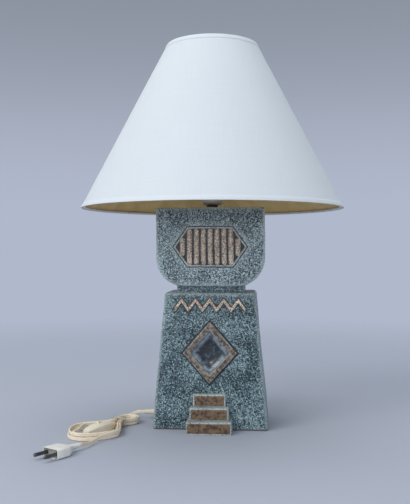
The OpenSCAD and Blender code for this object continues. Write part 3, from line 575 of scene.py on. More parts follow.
def place(name: str, bm: Mesh, finish: Finish, body: Body, stands_for: Sequence[str] = (),
          crease: float = CREASE) -> Piece:
    """Turns a shape in millimetres into a finished piece that rides on a body.

    Args:
        name: name of the piece.
        bm: its shape, which is freed.
        finish: its surface.
        body: body that it rides on.
        stands_for: CAD nodes that it replaces.
        crease: angle in degrees past which an edge looks sharp.

    Returns:
        The piece.
    """
    bmesh.ops.remove_doubles(bm, verts=bm.verts, dist=WELD)
    bmesh.ops.recalc_face_normals(bm, faces=bm.faces)
    bmesh.ops.scale(bm, vec=(MM, MM, MM), verts=bm.verts)
    for face in bm.faces:
        face.smooth = True
    for edge in bm.edges:
        edge.smooth = edge.calc_face_angle(0.0) < math.radians(crease)
    piece = link_mesh(name, bm, finish.material())
    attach(piece, body.value)
    if stands_for:
        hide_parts(*stands_for)
    LOG.info("%s: %d faces on %s", name, len(piece.data.polygons), body.value)
    return piece


def face_of(bm: Mesh, points: Iterable[Sequence[float]]) -> Face:
    """Returns one face through a few points."""
    return bm.faces.new([bm.verts.new(point) for point in points])


def add_block(bm: Mesh, size: Place, middle: Place) -> None:
    """Adds a block to a shape.

    Args:
        bm: shape that takes the block.
        size: its width, depth and height.
        middle: its middle.
    """
    verts = bmesh.ops.create_cube(bm, size=1.0)["verts"]
    bmesh.ops.scale(bm, vec=size, verts=verts)
    bmesh.ops.translate(bm, vec=middle, verts=verts)


def verts_in(made: dict) -> list[Vert]:
    """Returns the vertices that an operator made."""
    return [item for item in made["geom"] if isinstance(item, Vert)]


def extrude(bm: Mesh, faces: Sequence[Face], way: Sequence[float]) -> dict:
    """Extrudes faces and drops the old ones where they would be left inside the shape.

    Args:
        bm: shape that holds the faces.
        faces: faces that are extruded together.
        way: how far the new faces move.

    Returns:
        What the operator made.
    """
    region = set(faces)
    joined = any(other not in region for f in faces for e in f.edges for other in e.link_faces)
    made = bmesh.ops.extrude_face_region(bm, geom=list(faces))
    if joined:
        bmesh.ops.delete(bm, geom=list(faces), context="FACES")
    bmesh.ops.translate(bm, vec=way, verts=verts_in(made))
    return made


def inset(bm: Mesh, face: Face, thickness: float) -> None:
    """Draws a face in by a margin and leaves a band round it."""
    bm.normal_update()
    bmesh.ops.inset_region(bm, faces=[face], thickness=thickness, use_boundary=True, use_even_offset=True)


def pull(bm: Mesh, face: Face, way: Sequence[float], grow: Sequence[float] = (1, 1, 1)) -> Face:
    """Extrudes a face, moves its new end and scales it about its own middle.

    Args:
        bm: shape that holds the face.
        face: face that is extruded.
        way: how far the new end moves.
        grow: scale of the new end.

    Returns:
        The face at the new end.
    """
    made = extrude(bm, [face], way)
    ends = verts_in(made)
    middle = sum((v.co for v in ends), Vector()) / len(ends)
    bmesh.ops.scale(bm, vec=grow, verts=ends, space=Matrix.Translation(-middle))
    return next(item for item in made["geom"] if isinstance(item, Face))


def soften(bm: Mesh, size: float, segments: int, angle: float = 50.0,
           test: Callable[[Vector, Vector], bool] = lambda middle, way: True) -> None:
    """Bevels sharp edges to a round.

    Args:
        bm: shape that is bevelled.
        size: width of the round.
        segments: faces across the round.
        angle: least angle between the faces of an edge, in degrees.
        test: takes an edge's middle and its direction, and says whether it counts.
    """
    bm.normal_update()
    edges = []
    for edge in bm.edges:
        first, second = (v.co for v in edge.verts)
        chosen = test((first + second) / 2, (second - first).normalized())
        if chosen and edge.calc_face_angle(0.0) > math.radians(angle):
            edges.append(edge)
    bmesh.ops.bevel(bm, geom=edges, offset=size, offset_type="OFFSET", segments=segments, profile=0.5,
                    affect="EDGES", material=-1, clamp_overlap=True)


def upright(middle: Vector, way: Vector) -> bool:
    """Says whether an edge stands upright."""
    return abs(way.z) > 0.9


def rule(bm: Mesh, axis: int, low: float, high: float, pitch: float) -> None:
    """Cuts a shape by even planes across an axis.

    Args:
        bm: shape that is cut.
        axis: 0, 1 or 2.
        low: start of the cuts.
        high: end of the cuts.
        pitch: greatest step between cuts.
    """
    normal = (ACROSS, DEEP, UP)[axis]
    count = max(2, math.ceil((high - low) / pitch))
    for i in range(1, count):
        geom = list(bm.verts) + list(bm.edges) + list(bm.faces)
        bmesh.ops.bisect_plane(bm, geom=geom, plane_co=normal * (low + (high - low) * i / count),
                               plane_no=normal, dist=SNAP)


def cut_faces(bm: Mesh, faces: Sequence[Face], at: Vector, normal: Vector) -> None:
    """Cuts some faces of a shape by a plane.

    Args:
        bm: shape that holds the faces.
        faces: faces that are cut.
        at: point of the plane.
        normal: normal of the plane.
    """
    bm.verts.index_update()
    bm.edges.index_update()
    verts = sorted({v for f in faces for v in f.verts}, key=lambda v: v.index)
    edges = sorted({e for f in faces for e in f.edges}, key=lambda e: e.index)
    bmesh.ops.bisect_plane(bm, geom=verts + edges + list(faces), plane_co=at, plane_no=normal, dist=FINE_SNAP)
    bm.normal_update()


def sink(bm: Mesh, outline: Sequence[Vector], normal: Vector, drop: float) -> None:
    """Cuts a convex outline into the flat faces under it and pushes the inside in.

    Args:
        bm: shape that is cut.
        outline: corners in the plane of the faces.
        normal: outward normal of that plane.
        drop: depth of the recess.
    """
    centre = sum(outline, Vector()) / len(outline)
    bmesh.ops.recalc_face_normals(bm, faces=bm.faces)

    def flat() -> list[Face]:
        """Lists the faces that lie in the plane.

        Returns:
            The faces, with their normals brought up to date.
        """
        bm.normal_update()
        level = [f for f in bm.faces if f.normal.dot(normal) > FLAT]
        return [f for f in level if abs((f.calc_center_median() - centre).dot(normal)) < 2 * SNAP]

    walls = []
    for i, corner in enumerate(outline):
        out = (outline[(i + 1) % len(outline)] - corner).cross(normal).normalized()
        if out.dot(corner - centre) < 0:
            out.negate()
        walls.append((corner, out))
        cut_faces(bm, flat(), corner, out)
    inside = [f for f in flat() if all((f.calc_center_median() - a).dot(out) < 0 for a, out in walls)]
    extrude(bm, inside, -normal * drop)


def mark_wear_and_highlight(bm: Mesh, share: Callable[[Vert], float]) -> None:
    """Writes how far the glaze pales to the edge_fade attribute, as rubbed glaze and as painted highlight.

    Args:
        bm: shape that is marked.
        share: takes a vertex and gives its pale share, from 0 to 1.
    """
    bm.normal_update()
    layer = bm.verts.layers.float.new("edge_fade")
    for vert in bm.verts:
        vert[layer] = share(vert)


def fade_edges(bm: Mesh, spread: int) -> None:
    """Marks the rounded edges pale, as rubbed glaze and as painted highlight, and spreads the mark.

    Args:
        bm: shape that is marked.
        spread: rounds of averaging with the neighbours.
    """
    square, hold = 0.975, 0.9
    mark_wear_and_highlight(bm, lambda v: 1.0 if max(abs(n) for n in v.normal) < square else 0.0)
    layer = bm.verts.layers.float["edge_fade"]
    for _ in range(spread):
        values = {}
        for vert in bm.verts:
            near = sum(e.other_vert(vert)[layer] for e in vert.link_edges) / len(vert.link_edges)
            values[vert] = max(vert[layer] * hold, near)
        for vert, value in values.items():
            vert[layer] = value


def roughen(bm: Mesh, amount: float, size: float, seed: float) -> None:
    """Makes a hand-formed surface slightly uneven.

    Args:
        bm: shape that is moved.
        amount: greatest move in or out.
        size: size of the bumps.
        seed: shift of the noise, which sets pieces apart.
    """
    bm.normal_update()
    shift = Vector((seed, seed * 1.7, -seed))
    moves = [(v, v.normal * amount * noise.noise(v.co / size + shift)) for v in bm.verts]
    for vert, move in moves:
        vert.co += move


def draw_in(vert: Vert, dip: float) -> None:
    """Moves a vertex towards the Z axis."""
    share = 1 - dip / math.hypot(vert.co.x, vert.co.y)
    vert.co = (vert.co.x * share, vert.co.y * share, vert.co.z)


def spin_round(bm: Mesh, profile: Sequence[Point], steps: int, gap: Optional[int] = None) -> None:
    """Spins a profile of radius and height about the Z axis.

    Args:
        bm: shape that takes the ring.
        profile: corners as radius and height.
        steps: steps of the full turn.
        gap: corner after which the profile is open, if it isn't closed.
    """
    verts = [bm.verts.new((r, 0, z)) for r, z in profile]
    edges = [bm.edges.new((verts[i], verts[(i + 1) % len(verts)])) for i in range(len(verts)) if i != gap]
    bmesh.ops.spin(bm, geom=verts + edges, cent=(0, 0, 0), axis=UP, angle=math.tau, steps=steps,
                   use_merge=True, use_normal_flip=False, use_duplicate=False)


def ribbed(start: float, end: float, steps: int, groove: float, plain: float) -> list[Point]:
    """Draws the outside of a tapered sleeve with grooves round it.

    Args:
        start: radius at its start.
        end: radius at its end.
        steps: points along it.
        groove: depth of the grooves.
        plain: share of each end that has none.

    Returns:
        Radius and share of the length at each point.
    """
    period, cut = 6, (3, 4)
    points = []
    for i in range(steps + 1):
        share = i / steps
        dip = groove if plain < share < 1 - plain and i % period in cut else 0.0
        points.append((start + (end - start) * share - dip, share))
    return points


def bezier(corners: Sequence[Vector], t: float) -> Vector:
    """Returns the point of a cubic curve at a share of its run."""
    weights = ((1 - t) ** 3, 3 * (1 - t) ** 2 * t, 3 * (1 - t) * t ** 2, t ** 3)
    return sum((w * c for w, c in zip(weights[1:], corners[1:])), weights[0] * corners[0])


def rounded_path(path: Sequence[Vector], steps: int) -> list[Vector]:
    """Draws a smooth line through points.

    Args:
        path: points it passes through.
        steps: pieces between two points.

    Returns:
        The points of the smooth line.
    """
    ends = [path[0]] + list(path) + [path[-1]]
    line = []
    for i in range(1, len(ends) - 2):
        a, b, c, d = ends[i - 1: i + 3]
        for k in range(steps):
            t = k / steps
            line.append(0.5 * (2 * b + (c - a) * t + (2 * a - 5 * b + 4 * c - d) * t ** 2
                               + (3 * b - a - 3 * c + d) * t ** 3))
    return line + [path[-1]]


def sweep(bm: Mesh, path: Sequence[Vector], section: Sequence[Point], over: Vector,
          closed: bool = False) -> None:
    """Extrudes a section ring by ring along a line.

    Args:
        bm: shape that takes the tube.
        path: centreline.
        section: outline as sideways and upright offsets.
        over: direction that the section's second offset leans to.
        closed: whether the line runs back into its start.
    """
    count = len(path)
    poses = []
    for i, point in enumerate(path):
        before = path[i - 1] if i or closed else point
        after = path[(i + 1) % count] if i + 1 < count or closed else point
        ahead = (after - before).normalized()
        side = ahead.cross(over).normalized()
        turn = Matrix((side, side.cross(ahead), ahead)).transposed().to_4x4()
        poses.append(Matrix.Translation(point) @ turn)
    ring = [bm.verts.new(poses[0] @ Vector((a, b, 0))) for a, b in section]
    edges = [bm.edges.new((ring[i], ring[(i + 1) % len(ring)])) for i in range(len(ring))]
    if not closed:
        bm.faces.new(ring)
    for i in list(range(1, count)) + ([0] if closed else []):
        made = bmesh.ops.extrude_edge_only(bm, edges=edges)
        fresh = set(verts_in(made))
        bmesh.ops.transform(bm, matrix=poses[i] @ poses[i - 1].inverted(), verts=list(fresh))
        edges = [e for e in made["geom"] if isinstance(e, Edge) and set(e.verts) <= fresh]
    if not closed:
        bmesh.ops.contextual_create(bm, geom=edges)


def circle(radius: float, count: int, flat: float = 1.0) -> list[Point]:
    """Returns the corners of a round or flattened section."""
    turns = [math.tau * i / count for i in range(count)]
    return [(radius * math.cos(a), radius * flat * math.sin(a)) for a in turns]


def ease(t: float) -> float:
    """Returns a smooth step from 0 to 1."""
    t = min(1.0, max(0.0, t))
    return t * t * (3 - 2 * t)


@dataclass(frozen=True)
class SoftLight:
    """Square studio light, in metres and watts."""

    name: str
    at: Place
    aim: Place
    size: float
    power: float
    colour: Place

    def hang(self) -> None:
        """Adds the light to the scene, turned to its aim."""
        data = bpy.data.lights.new(self.name, "AREA")
        data.size = self.size
        data.energy = self.power
        data.color = self.colour
        light = bpy.data.objects.new(self.name, data)
        light.location = self.at
        light.rotation_euler = (Vector(self.aim) - Vector(self.at)).to_track_quat("-Z", "Y").to_euler()
        bpy.context.scene.collection.objects.link(light)


LIGHTS = (
    SoftLight("key", (-1.5, -1.7, 1.9), (0, 0, 0.3), 1.5, 33.0, (1.0, 0.99, 0.965)),
    SoftLight("fill", (1.8, -1.3, 1.0), (0, 0, 0.3), 1.5, 3.0, (0.96, 0.98, 1.0)),
    SoftLight("front", (-0.35, -1.9, 0.62), (0, 0, 0.33), 0.24, 4.4, (0.98, 0.99, 1.0)),
    SoftLight("top", (0.1, 0.3, 2.3), (0, 0, 0.2), 1.6, 12.0, (0.98, 0.99, 1.0)),
)


@dataclass
class View:
    """Camera, lights and backdrop, in metres."""

    place: Place = (0.0790, -1.1313, 0.2606)
    turn: float = 4.5
    lens: float = 52.4
    sensor: float = 36.0
    lift: float = 0.0036
    slide: float = -0.0016
    nearest: float = 0.02
    sky: Colour = (0.82, 0.885, 0.97, 1.0)
    sky_strength: float = 0.64
    wall_low: Colour = paint(176, 184, 203)
    wall_high: Colour = paint(138, 146, 159)
    wall_fade: Point = (0.05, 0.36)
    floor_light: Colour = paint(174, 180, 193)
    floor_deep: Colour = paint(170, 175, 188)
    floor_r: float = 2.0
    floor_fade: float = 0.45
    floor_drop: float = 0.0003

    def camera(self) -> None:
        """Sets up the level camera of the photograph."""
        data = bpy.data.cameras.new("camera")
        data.lens = self.lens
        data.sensor_width = self.sensor
        data.shift_x = self.slide
        data.shift_y = self.lift
        data.clip_start = self.nearest
        camera = bpy.data.objects.new("camera", data)
        camera.location = self.place
        camera.rotation_euler = (math.pi / 2, 0, math.radians(self.turn))
        bpy.context.scene.collection.objects.link(camera)
        bpy.context.scene.camera = camera

    def lights(self) -> None:
        """Lights the lamp softly from the upper left, with a weaker fill."""
        for light in LIGHTS:
            light.hang()
        self.room()

    def room(self) -> None:
        """Gives the room a soft light and a plain pale backdrop that the camera sees."""
        world = bpy.data.worlds.new("soft_room")
        world.use_nodes = True
        sketch = Sketch(world.node_tree)
        way = sketch.add("ShaderNodeTexCoord").outputs["Generated"]
        height = sketch.add("ShaderNodeSeparateXYZ", {0: way}).outputs[2]
        tone = sketch.mix(sketch.spread(height, *self.wall_fade), self.wall_low, self.wall_high)
        seen = sketch.add("ShaderNodeBackground", {"Color": tone, "Strength": 1.0})
        path = sketch.add("ShaderNodeLightPath").outputs
        shown = sketch.maths("ADD", path["Is Camera Ray"], path["Is Glossy Ray"])
        shown = sketch.maths("ADD", shown, path["Is Transmission Ray"])
        light = world.node_tree.nodes["Background"]
        sketch.feed(light, "Color", self.sky)
        sketch.feed(light, "Strength", self.sky_strength)
        both = sketch.add("ShaderNodeMixShader", {
            0: sketch.maths("MINIMUM", shown, 1.0), 1: light.outputs[0], 2: seen.outputs[0],
        })
        sketch.feed(world.node_tree.nodes["World Output"], "Surface", both.outputs[0])
        bpy.context.scene.world = world

    def paper(self) -> bpy.types.Material:
        """Makes the floor's paper, which runs out into the backdrop far from the lamp.

        Returns:
            The material.
        """
        made = bpy.data.materials.new("floor_paper")
        made.use_nodes = True
        sketch = Sketch(made.node_tree)
        reach = sketch.add("ShaderNodeVectorMath", {0: sketch.coords()}, operation="LENGTH").outputs["Value"]
        shader = made.node_tree.nodes["Principled BSDF"]
        fibre = sketch.grain(60.0)
        sketch.feed(shader, "Base Color", sketch.mix(fibre, self.floor_deep, self.floor_light))
        sketch.feed(shader, "Roughness", sketch.spread(fibre, 0.3, 0.7, 0.82, 0.95))
        clear = sketch.add("ShaderNodeBsdfTransparent")
        both = sketch.add("ShaderNodeMixShader", {
            0: sketch.spread(reach, self.floor_fade, self.floor_r), 1: shader.outputs[0], 2: clear.outputs[0],
        })
        sketch.feed(made.node_tree.nodes["Material Output"], "Surface", both.outputs[0])
        return made

    def backdrop(self) -> None:
        """Builds the pale round floor."""
        bm = bmesh.new()
        bmesh.ops.create_circle(bm, cap_ends=True, segments=96, radius=self.floor_r)
        bmesh.ops.translate(bm, vec=(0, 0, -self.floor_drop), verts=bm.verts)
        link_mesh("pale_floor", bm, self.paper())


@dataclass
class Flex:
    """Twin flex with its hank, tie, switch and plug on the table.

    The hank lies along a line through its tie, with a long front lobe and a short rear one.
    """

    width: float = 5.0
    thick: float = 2.6
    core_start: float = -38.0
    core_step: float = 32.0
    core_points: int = 9
    lamp_length: float = 0.761
    plug_length: float = 0.700
    lay_angle: float = 244.0
    tie_at: Point = (-139.0, -36.0)
    waist: float = 9.2
    front_reach: float = 42.0
    front_swell: float = 0.6
    front_lobe: float = 101.0
    rear_reach: float = 34.0
    rear_lobe: float = 40.0
    layer_one: float = 2.5
    layer_two: float = 8.3
    lower_turns: Point = (50.0, 780.0)
    upper_turns: Point = (265.0, 835.0)
    tie_lift: float = 1.3
    tie_spread: float = 16.0
    pitch: float = 3.3
    step: float = 5.0
    straight: float = 5.0
    smooth: int = 4
    outlet: Place = (-107.377, 15.0, 12.0)
    lead_route: Route = ((-119.0, 15.2, 11.0), (-126.0, 14.6, 8.6), (-133.0, 11.5, 6.0), (-138.5, 5.5, 4.2))
    plug_route: Route = ((-145.0, -126.0, 7.2), (-150.5, -138.0, 5.0), (-155.0, -150.0, 4.0),
                         (-158.5, -160.0, 5.0))
    inner_route: Route = ((-80.0, 15.0, 12.0), (-70.0, 15.0, 12.0), (-50.0, 14.0, 15.0), (-28.0, 9.0, 34.0),
                          (-10.0, 3.0, 74.0), (0.0, 0.0, 125.0), (0.0, 0.0, 210.0), (0.0, 0.0, 300.0))
    inner_gap: float = 0.1
    inner_smooth: int = 6
    switch_u: float = 15.0
    switch_l: float = 62.0
    entry_z: float = 5.0
    overlap: float = 1.0
    turn_out: float = 79.6
    turn_r: float = 9.0
    turn_steps: int = 18
    merge_z: float = 6.65
    merge_pull: float = 10.0
    merge_steps: int = 10
    plug_at: Point = (-175.5, -191.0)
    plug_angle: float = 238.0
    plug_z: float = 6.75
    sleeve_l: float = 20.0
    sleeve_grip: float = 2.0
    tie_margin: float = 1.95
    tie_low: float = 0.45
    tie_high: float = 12.7
    tie_round: float = 2.4
    tie_wire: float = 0.40
    tie_flat: float = 2.4
    tie_middle: float = 6.0
    tie_bands: tuple[Point, Point] = ((-1.15, 0.25), (1.1, -0.3))

    def lay(self, u: float, v: float, z: float) -> Vector:
        """Places a point of the hank on the table.

        Args:
            u: way along the hank from its tie.
            v: way across it.
            z: height over the table.

        Returns:
            The point.
        """
        turn = math.radians(self.lay_angle)
        c, s = math.cos(turn), math.sin(turn)
        return Vector((self.tie_at[0] + u * c - v * s, self.tie_at[1] + u * s + v * c, z))

    def reach(self, u: float) -> float:
        """Gives the half width of the hank.

        Args:
            u: way along the hank from its tie.

        Returns:
            The half width there.
        """
        if u < 0:
            return self.waist + (self.rear_reach - self.waist) * ease(-u / self.rear_lobe)
        return self.waist + (self.front_reach - self.waist) * ease(u / (self.front_swell * self.front_lobe))

    def outline(self, q: float, side: float) -> Vector:
        """Draws the hank's outline.

        Args:
            q: turn in degrees, from the rear end.
            side: 1 or -1, the way the outline runs.

        Returns:
            The point along and across the hank.
        """
        middle = (self.front_lobe - self.rear_lobe) / 2
        half = (self.front_lobe + self.rear_lobe) / 2
        u = middle - half * math.cos(math.radians(q))
        return Vector((u, side * math.sin(math.radians(q)) * self.reach(u)))

    def loop_point(self, q: float, side: float, inward: float, z: float) -> Vector:
        """Places one point of a loop.

        Args:
            q: turn in degrees.
            side: 1 or -1, the way the loop runs.
            inward: how far inside the outline it lies.
            z: height of its layer.

        Returns:
            The point on the table.
        """
        ahead = (self.outline(q + 0.5, side) - self.outline(q - 0.5, side)).normalized()
        p = self.outline(q, side) + inward * side * Vector((ahead.y, -ahead.x))
        lift = self.tie_lift * (1 - ease(abs(p.x) / self.tie_spread))
        return self.lay(p.x, p.y, z + lift)

    def loops(self, turns: Point, side: float, z: float, inward: bool) -> list[Vector]:
        """Winds loops one inside the other.

        Args:
            turns: turns of the start and the end, in degrees.
            side: way the loops run.
            z: height of the layer.
            inward: whether the loops run inwards.

        Returns:
            Points of the loops.
        """
        first, last = turns
        count = round((last - first) / self.step)
        places = [first + (last - first) * i / count for i in range(count + 1)]
        depth = [(q - first if inward else last - q) for q in places]
        return [self.loop_point(q, side, self.pitch * d / 360, z) for q, d in zip(places, depth)]

    @staticmethod
    def level(way: Vector) -> Vector:
        """Returns a direction along the table."""
        return Vector((way.x, way.y, 0)).normalized()

    def behind_plug(self, u: float) -> Vector:
        """Finds a point on the line behind the plug.

        Args:
            u: distance from the plug's rear end.

        Returns:
            The point.
        """
        turn = math.radians(self.plug_angle)
        x, y = self.plug_at
        return Vector((x - u * math.cos(turn), y - u * math.sin(turn), self.plug_z))

    def lamp_side(self) -> list[Vector]:
        """Draws the flex from the outlet to the switch.

        Returns:
            Points of its centreline.
        """
        loops = self.loops(self.lower_turns, -1, self.layer_one, True)
        start = loops[0] - self.straight * self.level(loops[1] - loops[0])
        way = (loops[0] - start).normalized()
        out = Vector(self.outlet)
        route = [out - self.straight * ACROSS, *map(Vector, self.lead_route), start - self.straight * way]
        entry = [self.lay(self.switch_u + u, 0, self.entry_z) for u in (-self.straight, self.overlap)]
        return [out] + rounded_path(route, self.smooth) + [start] + loops + entry

    def plug_side(self) -> list[Vector]:
        """Draws the flex from the switch to the plug.

        Returns:
            Points of its centreline.
        """
        loops = self.loops(self.upper_turns, 1, self.layer_two, False)
        start = self.lay(self.switch_u + self.switch_l - self.overlap, 0, self.entry_z)
        arc = []
        for i in range(self.turn_steps + 1):
            share = i / self.turn_steps
            a = math.pi * share
            z = self.entry_z + (self.merge_z - self.entry_z) * ease(share)
            u = self.turn_out + self.turn_r * math.sin(a)
            arc.append(self.lay(u, self.turn_r * (math.cos(a) - 1), z))
        ahead = (loops[1] - loops[0]).normalized()
        lean = self.lay(self.turn_out - self.merge_pull, -2 * self.turn_r, self.merge_z)
        corners = [arc[-1], lean, loops[0] - self.merge_pull * ahead, loops[0]]
        join = [bezier(corners, i / self.merge_steps) for i in range(1, self.merge_steps)]
        after = loops[-1] + self.straight * self.level(loops[-1] - loops[-2])
        way = (after - loops[-1]).normalized()
        route = [after + self.straight * way, *map(Vector, self.plug_route),
                 self.behind_plug(self.sleeve_l + self.straight)]
        end = self.behind_plug(self.sleeve_l - self.sleeve_grip)
        return [start] + arc + join + loops + [after] + rounded_path(route, self.smooth) + [end]

    def section(self) -> list[Point]:
        """Draws the outline of two cores side by side, on edge.

        Returns:
            Its corners.
        """
        core = self.thick / 2
        centre = self.width / 2 - core
        turns = [math.radians(self.core_start + self.core_step * i) for i in range(self.core_points)]
        upper = [(core * math.cos(a), centre + core * math.sin(a)) for a in turns]
        return upper + [(-x, -y) for x, y in upper]

    def run(self, name: str, path: list[Vector], stands_for: Sequence[str], over: Vector = UP) -> Piece:
        """Builds one length of flex.

        Args:
            name: name of the piece.
            path: its centreline.
            stands_for: CAD nodes that it replaces.
            over: direction that its section leans to.

        Returns:
            The piece.
        """
        bm = bmesh.new()
        sweep(bm, path, self.section(), over)
        return place(name, bm, FLEX, Body.LAMP, stands_for, SMOOTH_CREASE)

    def tie(self) -> Piece:
        """Binds the hank with two bands.

        Returns:
            The bands.
        """
        bm = bmesh.new()
        r = self.tie_round
        half = self.waist + self.tie_margin - r
        low, high = self.tie_low + r, self.tie_high - r
        loop = []
        for v, z, start in ((half, high, 0), (-half, high, 90), (-half, low, 180), (half, low, 270)):
            for a in (math.radians(start + 15 * k) for k in range(7)):
                loop.append((v + r * math.cos(a), z + r * math.sin(a)))
        along = self.lay(1, 0, 0) - self.lay(0, 0, 0)
        for u, tilt in self.tie_bands:
            path = [self.lay(u + tilt * (z / self.tie_middle - 1), v, z) for v, z in loop]
            sweep(bm, path, circle(self.tie_wire, 10, self.tie_flat), along, closed=True)
        return place("hank_tie_bands", bm, TIE, Body.LAMP, ["hank_tie"], SMOOTH_CREASE)

    def inside(self) -> None:
        """Runs the flex inside the body, from the outlet up to the lampholder."""
        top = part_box("inner_flex")[1][2] / MM
        start = Vector(self.outlet) + self.inner_gap * ACROSS
        route = [start, *map(Vector, self.inner_route), top * UP]
        self.run("flex_inside", rounded_path(route, self.inner_smooth), ["inner_flex"], DEEP)

    def build(self) -> None:
        """Makes the flex with the pieces on it."""
        self.inside()
        lamp_path = self.lamp_side()
        plug_path = self.plug_side()
        lamp_run = self.run("flex_lamp_side", lamp_path, ["cord_lamp_lead", "cord_hank_lower"])
        plug_run = self.run("flex_plug_side", plug_path, ["cord_hank_upper", "cord_plug_lead"])
        bands = self.tie()
        switch = Switch(self.lay(self.switch_u, 0, 0), self.lay_angle, self.switch_l).build()
        plug = Plug(self.plug_at, self.plug_angle, self.sleeve_l).build()
        switch += [bands] + [frame["nodes"][n] for n in ("switch_bridge", "switch_contacts", "switch_screws")]
        plug += [frame["nodes"][n] for n in ("plug_insert", "plug_pins")]


def lie(at: Sequence[float], angle: float) -> Matrix:
    """Returns the turn and place of a piece that lies along the hank."""
    return Matrix.Translation((at[0], at[1], 0)) @ Matrix.Rotation(math.radians(angle), 4, "Z")


@dataclass
class Switch:
    """In-line slide switch, along X from its rear end until it is laid in its place."""

    at: Sequence[float]
    angle: float
    length: float
    width: float = 21.0
    height: float = 15.0
    floor: float = 0.05
    split: float = 7.0
    joint: float = 0.12
    taper: float = 5.0
    camber: float = 0.4
    camber_power: float = 2.4
    net: Point = (2.0, 1.8)
    end_round: float = 2.8
    edge_round: float = 1.9
    lip_round: float = 0.3
    slot: Point = (11.6, 4.6)
    slot_drop: float = 3.4
    button: Point = (5.4, 4.4)
    button_low: float = 11.4
    button_rise: float = 5.1
    button_crown: float = 0.7
    crown_share: Place = (0.8, 0.9, 1.0)
    button_round: float = 0.45
    rib: Place = (0.5, 3.0, 0.5)
    rib_pitch: float = 1.25
    rib_z: float = 17.05
    rest: float = 3.0
    screws: tuple[Point, Point] = ((9.0, 4.4), (53.0, -4.4))
    well_r: float = 2.8
    well_drop: float = 2.0

    def bow(self, x: float) -> float:
        """Gives how far a bowed side has come in.

        Args:
            x: way along the switch.

        Returns:
            The distance from the straight side.
        """
        half = self.length / 2
        r = (half * half + self.taper * self.taper) / (2 * self.taper)
        return r - math.sqrt(r * r - (x - half) ** 2)

    def half_shell(self, low: float, high: float, crown: bool) -> Mesh:
        """Builds one moulded half.

        Args:
            low: height of its lower face.
            high: height of its upper face at the middle.
            crown: whether the upper face is bowed.

        Returns:
            The shape.
        """
        bm = bmesh.new()
        add_block(bm, (self.length, self.width, high - low), (self.length / 2, 0, (low + high) / 2))
        rule(bm, 0, 0, self.length, self.net[0])
        if crown:
            rule(bm, 1, -self.width / 2, self.width / 2, self.net[1])
        for vert in bm.verts:
            bow = self.bow(vert.co.x)
            out = abs(vert.co.y) * 2 / self.width
            vert.co.y *= 1 - 2 * bow / self.width
            if crown and vert.co.z > (low + high) / 2:
                vert.co.z -= bow + self.camber * (high - bow - low) * out ** self.camber_power
        soften(bm, self.end_round, 5, test=upright)
        soften(bm, self.edge_round, 4, 35, lambda m, w: (m.z > low + 0.4) if crown else (m.z < high - 0.1))
        soften(bm, self.lip_round, 2)
        bmesh.ops.dissolve_degenerate(bm, dist=0.02, edges=bm.edges)
        return bm

    def build(self) -> list[Piece]:
        """Makes both halves and the slider.

        Returns:
            The pieces.
        """
        spot = lie(self.at, self.angle)
        lower = self.half_shell(self.floor, self.split - self.joint, False)
        for x, y in self.screws:
            well = [Vector((x + a, y + b, self.floor)) for a, b in circle(self.well_r, 16)]
            sink(lower, well, -UP, self.well_drop)
        upper = self.half_shell(self.split + self.joint, self.height, True)
        self.cut_slot(upper)
        for bm in (lower, upper):
            bmesh.ops.transform(bm, matrix=spot, verts=bm.verts)
        return [
            place("switch_base", lower, CREAM, Body.LAMP, ["switch_lower_shell"]),
            place("switch_cover", upper, CREAM, Body.LAMP, ["switch_upper_shell"]),
            self.nub(spot),
        ]

    def cut_slot(self, bm: Mesh) -> None:
        """Cuts the slider's slot into the bowed top.

        Args:
            bm: shape of the cover.
        """
        half = self.length / 2
        reach_x, reach_y = (size / 2 for size in self.slot)

        def top() -> list[Face]:
            """Lists the faces that look up."""
            return [f for f in bm.faces if f.normal.z > 0.9]

        for normal, reach, middle in ((ACROSS, reach_x, half), (DEEP, reach_y, 0.0)):
            for side in (-1, 1):
                cut_faces(bm, top(), normal * (middle + side * reach), normal)
        inside = []
        for face in top():
            c = face.calc_center_median()
            if abs(c.x - half) < reach_x and abs(c.y) < reach_y:
                inside.append(face)
        extrude(bm, inside, (0, 0, -self.slot_drop))

    def nub(self, spot: Matrix) -> Piece:
        """Makes the ribbed slider.

        Args:
            spot: place of the switch.

        Returns:
            The slider.
        """
        bm = bmesh.new()
        x, low = self.length / 2 + self.rest, self.button_low
        a, b = (size / 2 for size in self.button)
        face = face_of(bm, [(x - a, -b, low), (x + a, -b, low), (x + a, b, low), (x - a, b, low)])
        top = pull(bm, face, (0, 0, self.button_rise))
        pull(bm, top, (0, 0, self.button_crown), self.crown_share)
        soften(bm, self.button_round, 3, 30, lambda m, w: m.z > low + 0.6)
        for k in (-1, 0, 1):
            add_block(bm, self.rib, (x + self.rib_pitch * k, 0, self.rib_z))
        bmesh.ops.transform(bm, matrix=spot, verts=bm.verts)
        return place("switch_nub", bm, NUB, Body.SLIDER, ["switch_slider"])


